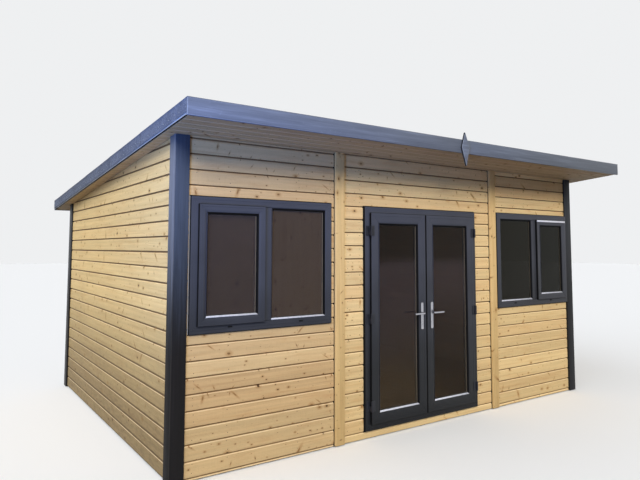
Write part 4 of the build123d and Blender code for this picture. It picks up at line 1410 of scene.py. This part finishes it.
window("left_window", LEFT_WINDOW, "left", LEFT_CAPS)
window("right_window", RIGHT_WINDOW, "right", RIGHT_CAPS)
drip_bar()


# Doors
MEETING_SEAL = 0.006
MEETING_SEAL_DEPTH = 0.008
MEETING_SEAL_PROUD = 0.0006
MEETING_SEAL_SHORT = 0.001
MEETING_SEAL_ARRIS = 0.0004
STOP_SEAL = 0.003
STOP_SEAL_SHORT = 0.002


def door_frame():
    """The frame round the doors, with the stop that the leaves close on and a seal in the stop."""
    low, high = seen_flat((DOOR_LOW, DOOR_HIGH))
    stop = FRAME_BACK - DOOR_STOP - LEAF_GAP
    width, reach = DOOR_FRAME_WIDTH, DOOR_FRAME_WIDTH + DOOR_STOP
    section = frame_section(width) + [(width, stop), (reach, stop), (reach, FRAME_BACK), (0, FRAME_BACK)]
    frame_bars("door_frame_bars", section, low, high,
               ["door_jamb_left", "door_jamb_right", "door_head", "door_threshold"])
    start, end, near = width + STOP_SEAL, reach - STOP_SEAL_SHORT, stop - STOP_SEAL
    ring("door_frame_seal", [(start, near), (end, near), (end, stop), (start, stop)], low, high)
    sealant("door_sealant", (DOOR_LOW, DOOR_HIGH), DOOR_SEALANT_SPREAD)


def door(side):
    """One leaf with its glass, hinges, handle plates and levers, and a black seal where the leaves meet,
    which also widens the gap's dark as painted shade.
    """
    name, body = "door_" + side, side + "_door"
    low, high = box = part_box(name + "_leaf")
    opening = sash(name + "_leaf_bars", box, STILE_WIDTH, FRAME_FACE - LEAF_GAP, SASH_FACE + PROFILE_DEPTH,
                   LEAF_SETBACK, body, [name + "_leaf"])
    glazed_light(name, *opening, SASH_FACE + GLASS_SET_IN, body, [name + "_glass"], [name + "_bead"])
    dressed(name + "_leaf_hinges", [hinge_metal], body, SMALL_ARRIS)
    dressed(name + "_frame_hinges", [hinge_metal], HOUSE, SMALL_ARRIS)
    dressed(name + "_handle_plates", [chrome], body, PLATE_ARRIS)
    dressed(name + "_levers", [chrome], side + "_handle", LEVER_ARRIS)
    start = high.x - MEETING_SEAL if side == "left" else low.x
    bm = bmesh.new()
    block(bm, (start, SASH_FACE - MEETING_SEAL_PROUD, low.z + MEETING_SEAL_SHORT),
          (start + MEETING_SEAL, SASH_FACE + MEETING_SEAL_DEPTH, high.z - MEETING_SEAL_SHORT),
          MEETING_SEAL_ARRIS)
    piece(name + "_meeting_seal", bm, [rubber_and_shadow], body)


door_frame()
door("left")
door("right")


# Felt on the roof
FELT_SHEET = 0.0012
FELT_FLAP_ROWS = 8
FELT_TOP_COLUMNS = 60
FELT_ROWS = 44
FELT_HEM = 0.05
FELT_SAG = 0.0012
FELT_SHORT = 0.0004
FELT_SET_IN, FELT_RISE = 1.3, 1.1
FELT_DROP = FELT_HIGH.z - FELT_LOW.z - (FELT_HIGH.y - FELT_LOW.y) * SLOPE
CREASE = 0.0055
CREASE_FROM = 0.03
BACK_FLAP_COLUMNS, BACK_FLAP_ROWS = 120, 6
BACK_FLAP_FALL = 0.058
BACK_FLAP_WAVE = 0.0014
BACK_FLAP_MARGIN = 0.002
BACK_FLAP_IN, BACK_FLAP_DOWN = 0.0008, 0.001
CLOUT_SPACING = 0.11
CLOUT_RADIUS, CLOUT_HEAD = 0.005, 0.0012
CLOUT_START = 0.03
CLOUT_DOWN = 0.068
CLOUT_DRIFT_ALONG, CLOUT_DRIFT = 0.02, 0.01
CLOUT_SUNK_SIDE, CLOUT_SUNK_TOP = 0.0042, 0.0016
CLOUT_FROM_LAP = 0.02
CLOUT_SEED = 61


def wander(*place):
    """Smooth noise from 0 upwards."""
    return abs(noise.noise(Vector(place)))


def felt_top(y):
    """Height of the felt's upper face at a depth y."""
    return FELT_HIGH.z - (y - FELT_LOW.y) * SLOPE


def flap_crease(y, down):
    """How far a flap stands off its board at a place along the roof and down from its edge."""
    broad = noise.noise(Vector((y * 5.0, down * 6.0, 3.1)))
    sharp = wander(y * 17.0, down * 9.0, 8.7)
    return max(0.0, min(1.0, 0.50 + broad * 0.9 - sharp * 1.3))


def felt_strip(start, end, seed):
    """One strip of felt across the roof, turned down over both sides."""
    part = bmesh.new()
    columns = FELT_TOP_COLUMNS + 2 * FELT_FLAP_ROWS
    bmesh.ops.create_grid(part, x_segments=columns, y_segments=FELT_ROWS, size=0.5)
    width = FELT_HIGH.x - FELT_LOW.x
    for vert in part.verts:
        column = round((vert.co.x + 0.5) * columns)
        along = vert.co.y + 0.5
        y = start + along * (end - start)
        set_in = (FELT_SET_IN - FELT_RISE * along ** 3) * FELT_SHEET
        out_of_edge = max(FELT_FLAP_ROWS - column, column - FELT_FLAP_ROWS - FELT_TOP_COLUMNS, 0)
        across = min(max(column - FELT_FLAP_ROWS, 0), FELT_TOP_COLUMNS) / FELT_TOP_COLUMNS
        down = FELT_DROP * (1 - FELT_HEM * wander(y * 8.0, seed, 0)) * out_of_edge / FELT_FLAP_ROWS
        top = felt_top(y) - set_in - FELT_SAG * wander(across * 22.0, y * 2.0, seed)
        crease = flap_crease(y, down) * CREASE * min(1.0, down / CREASE_FROM)
        inset = set_in + (CREASE - crease if out_of_edge else 0.0)
        x = FELT_LOW.x + inset + across * (width - 2 * inset)
        vert.co = (x, y, top - down)
    bmesh.ops.recalc_face_normals(part, faces=part.faces)
    bmesh.ops.solidify(part, geom=part.faces[:], thickness=FELT_SHEET)
    return part


def felt_roof():
    """Strips of felt laid from the back up, each lapped by the next one towards the front."""
    bm = bmesh.new()
    for index in range(FELT_STRIPS):
        start = FELT_LOW.y + index * FELT_STEP
        end = min(start + FELT_STEP + FELT_LAP, FELT_HIGH.y - FELT_SHORT)
        add_to(bm, felt_strip(start, end, index + 0.5))
    rounded(piece("roof_felt_strips", bm, [roof_felt], instead_of=["roof_felt"]), 50)


def back_felt_flap():
    """The turn-down of the felt over the back fascia."""
    bm = bmesh.new()
    bmesh.ops.create_grid(bm, x_segments=BACK_FLAP_COLUMNS, y_segments=BACK_FLAP_ROWS, size=0.5)
    start, end = FELT_LOW.x + BACK_FLAP_MARGIN, FELT_HIGH.x - BACK_FLAP_MARGIN
    back, top = FELT_HIGH.y - BACK_FLAP_IN, felt_top(FELT_HIGH.y) - BACK_FLAP_DOWN
    for vert in bm.verts:
        across, down = vert.co.x + 0.5, (0.5 - vert.co.y) * BACK_FLAP_FALL
        wave = BACK_FLAP_WAVE * wander(across * 40.0, down * 9.0, 5.0)
        vert.co = (start + across * (end - start), back - wave, top - down)
    bmesh.ops.recalc_face_normals(bm, faces=bm.faces)
    bmesh.ops.solidify(bm, geom=bm.faces[:], thickness=FELT_SHEET)
    rounded(piece("roof_felt_back_flap", bm, [roof_felt]), 50)


def felt_nails():
    """Clout nails along the flaps and along each lap."""
    luck = random.Random(CLOUT_SEED)
    bm = bmesh.new()
    sides = (placed((FELT_LOW.x, 0, 0), (0, 1, 0), UP, (-1, 0, 0)),
             placed((FELT_HIGH.x, 0, 0), (0, 1, 0), UP, (1, 0, 0)))
    for index in range(int((FELT_HIGH.y - FELT_LOW.y) / CLOUT_SPACING)):
        y = FELT_LOW.y + CLOUT_START + index * CLOUT_SPACING
        y += luck.uniform(-CLOUT_DRIFT_ALONG, CLOUT_DRIFT_ALONG)
        z = felt_top(y) - CLOUT_DOWN + luck.uniform(-CLOUT_DRIFT, CLOUT_DRIFT)
        for to_world in sides:
            add_nail(bm, to_world, y, z, -CLOUT_SUNK_SIDE, CLOUT_RADIUS, CLOUT_HEAD)

    on_top = placed((0, 0, 0), (1, 0, 0), DOWN_SLOPE, OUT_OF_ROOF)
    across = int((FELT_HIGH.x - FELT_LOW.x) / CLOUT_SPACING)
    for lap in range(1, FELT_STRIPS):
        y = FELT_LOW.y + lap * FELT_STEP + FELT_LAP - CLOUT_FROM_LAP
        local = on_top.inverted() @ Vector((0, y, felt_top(y) - CLOUT_SUNK_TOP))
        for index in range(1, across):
            x = FELT_LOW.x + index * CLOUT_SPACING + luck.uniform(-CLOUT_DRIFT, CLOUT_DRIFT)
            add_nail(bm, on_top, x, local.y, local.z, CLOUT_RADIUS, CLOUT_HEAD)
    rounded(piece("roof_felt_nails", bm, [clout_metal]))


felt_roof()
back_felt_flap()
felt_nails()


# Light, floor and camera
PHOTO_WIDTH, PHOTO_HEIGHT = 640, 480
FOCAL_PIXELS = 571.94
CENTRE_PIXEL = (320.0, 204.7)
CAMERA_PLACE = (-4.0079, -5.8796, 1.6943)
CAMERA_YAW, CAMERA_PITCH, CAMERA_ROLL = 0.6033, 0.0753, 0.0023
SENSOR = 36.0
STUDIO_SIZE = 60
PALE = (0.86, 0.87, 0.88, 1.0)
FLOOR_BOUNCE = (0.12, 0.11, 0.10, 1.0)
LEFT_LIGHT = (0.19, 0.21, 0.28, 1.0)
RIGHT_LIGHT = (0.15, 0.145, 0.13, 1.0)
BACK_LIGHT = (0.46, 0.48, 0.52, 1.0)
SUN_FROM = (-0.34, -0.66, 0.450)
SUN_STRENGTH = 3.15
SUN_COLOUR = (1.0, 0.95, 0.87)
SUN_SPREAD = math.radians(26)
SKY_FROM = (-0.92, -0.12, 0.62)
SKY_STRENGTH = 1.55
SKY_COLOUR = (0.86, 0.93, 1.0)
SKY_SPREAD = math.radians(70)
GLOW_PLACE = Vector((-6.0, -4.9, 0.9))
GLOW_AIM = Vector((-2.0, -2.0, 2.55))
GLOW_CONE = math.radians(46)
GLOW_RADIUS = 0.9
GLOW_POWER = 1050.0
GLOW_COLOUR = (0.16, 0.36, 1.0)
ROOM_PLACE = (-1.0, -0.4, 1.9)
ROOM_RADIUS = 0.3
ROOM_POWER = 20.0
ROOM_COLOUR = (0.76, 0.88, 1.0)


def camera():
    """The view of the front and the left side from eye height, fitted to the photo."""
    data = bpy.data.cameras.new("camera")
    data.sensor_width = SENSOR
    data.lens = FOCAL_PIXELS * SENSOR / PHOTO_WIDTH
    data.shift_x = (PHOTO_WIDTH / 2 - CENTRE_PIXEL[0]) / PHOTO_WIDTH
    data.shift_y = (CENTRE_PIXEL[1] - PHOTO_HEIGHT / 2) / PHOTO_WIDTH
    view = bpy.data.objects.new("camera", data)
    yaw = Matrix.Rotation(-CAMERA_YAW, 4, "Z")
    tilt = Matrix.Rotation(math.pi / 2 + CAMERA_PITCH, 4, "X")
    roll = Matrix.Rotation(CAMERA_ROLL, 4, "Z")
    view.matrix_world = Matrix.Translation(CAMERA_PLACE) @ yaw @ tilt @ roll
    bpy.context.scene.collection.objects.link(view)
    bpy.context.scene.camera = view


def sky():
    """A weak light from all round, stronger from above and behind, before a pale backdrop."""
    world = bpy.data.worlds.new("studio")
    world.use_nodes = True
    nodes = Nodes(world.node_tree)
    across, back, up = nodes.split(nodes.node("TexCoord", None, None, "Generated"))
    light = nodes.mix(nodes.fade(across, -0.9, 0.6), LEFT_LIGHT, RIGHT_LIGHT)
    light = nodes.mix(nodes.fade(back + across * 0.4, 0.1, 0.9), light, BACK_LIGHT)
    light = nodes.dimmed(light, nodes.fade(up, -0.1, 0.8) * 0.5 + 0.8)
    shown = nodes.mix(nodes.seen_directly(), light, PALE)
    nodes.feed(world.node_tree.nodes["Background"].inputs["Color"], shown)
    bpy.context.scene.world = world


def lamp(name, kind, strength, colour, direction, place=(0, 0, 0)):
    """A lamp that no ray sees, and that shines against a direction."""
    data = bpy.data.lights.new(name, kind)
    data.energy = strength
    data.color = colour
    shown = bpy.data.objects.new(name, data)
    turn = Vector(direction).to_track_quat("Z", "Y").to_matrix().to_4x4()
    shown.matrix_world = Matrix.Translation(place) @ turn
    shown.visible_camera = shown.visible_glossy = False
    bpy.context.scene.collection.objects.link(shown)
    return data


def lamps():
    """A warm sun behind the viewer, a bright sky on the left, a cool glow and a dim light indoors."""
    lamp("sun", "SUN", SUN_STRENGTH, SUN_COLOUR, SUN_FROM).angle = SUN_SPREAD
    lamp("sky_side", "SUN", SKY_STRENGTH, SKY_COLOUR, SKY_FROM).angle = SKY_SPREAD
    glow = lamp("glow", "SPOT", GLOW_POWER, GLOW_COLOUR, GLOW_PLACE - GLOW_AIM, GLOW_PLACE)
    glow.spot_size = GLOW_CONE
    glow.spot_blend = 1.0
    glow.shadow_soft_size = GLOW_RADIUS
    lamp("room", "POINT", ROOM_POWER, ROOM_COLOUR, UP, ROOM_PLACE).shadow_soft_size = ROOM_RADIUS


def studio_floor():
    """A wide pale floor that keeps the building's shadow."""
    finish = Finish("studio_floor", 0.95, Specular_IOR_Level=0.0)
    finish.colour(finish.mix(finish.seen_directly(), FLOOR_BOUNCE, PALE))
    bm = bmesh.new()
    bmesh.ops.create_grid(bm, x_segments=1, y_segments=1, size=STUDIO_SIZE)
    mesh_object("studio_floor", bm, [finish.material])


camera()
sky()
lamps()
studio_floor()
bpy.context.scene.view_settings.view_transform = "Standard"
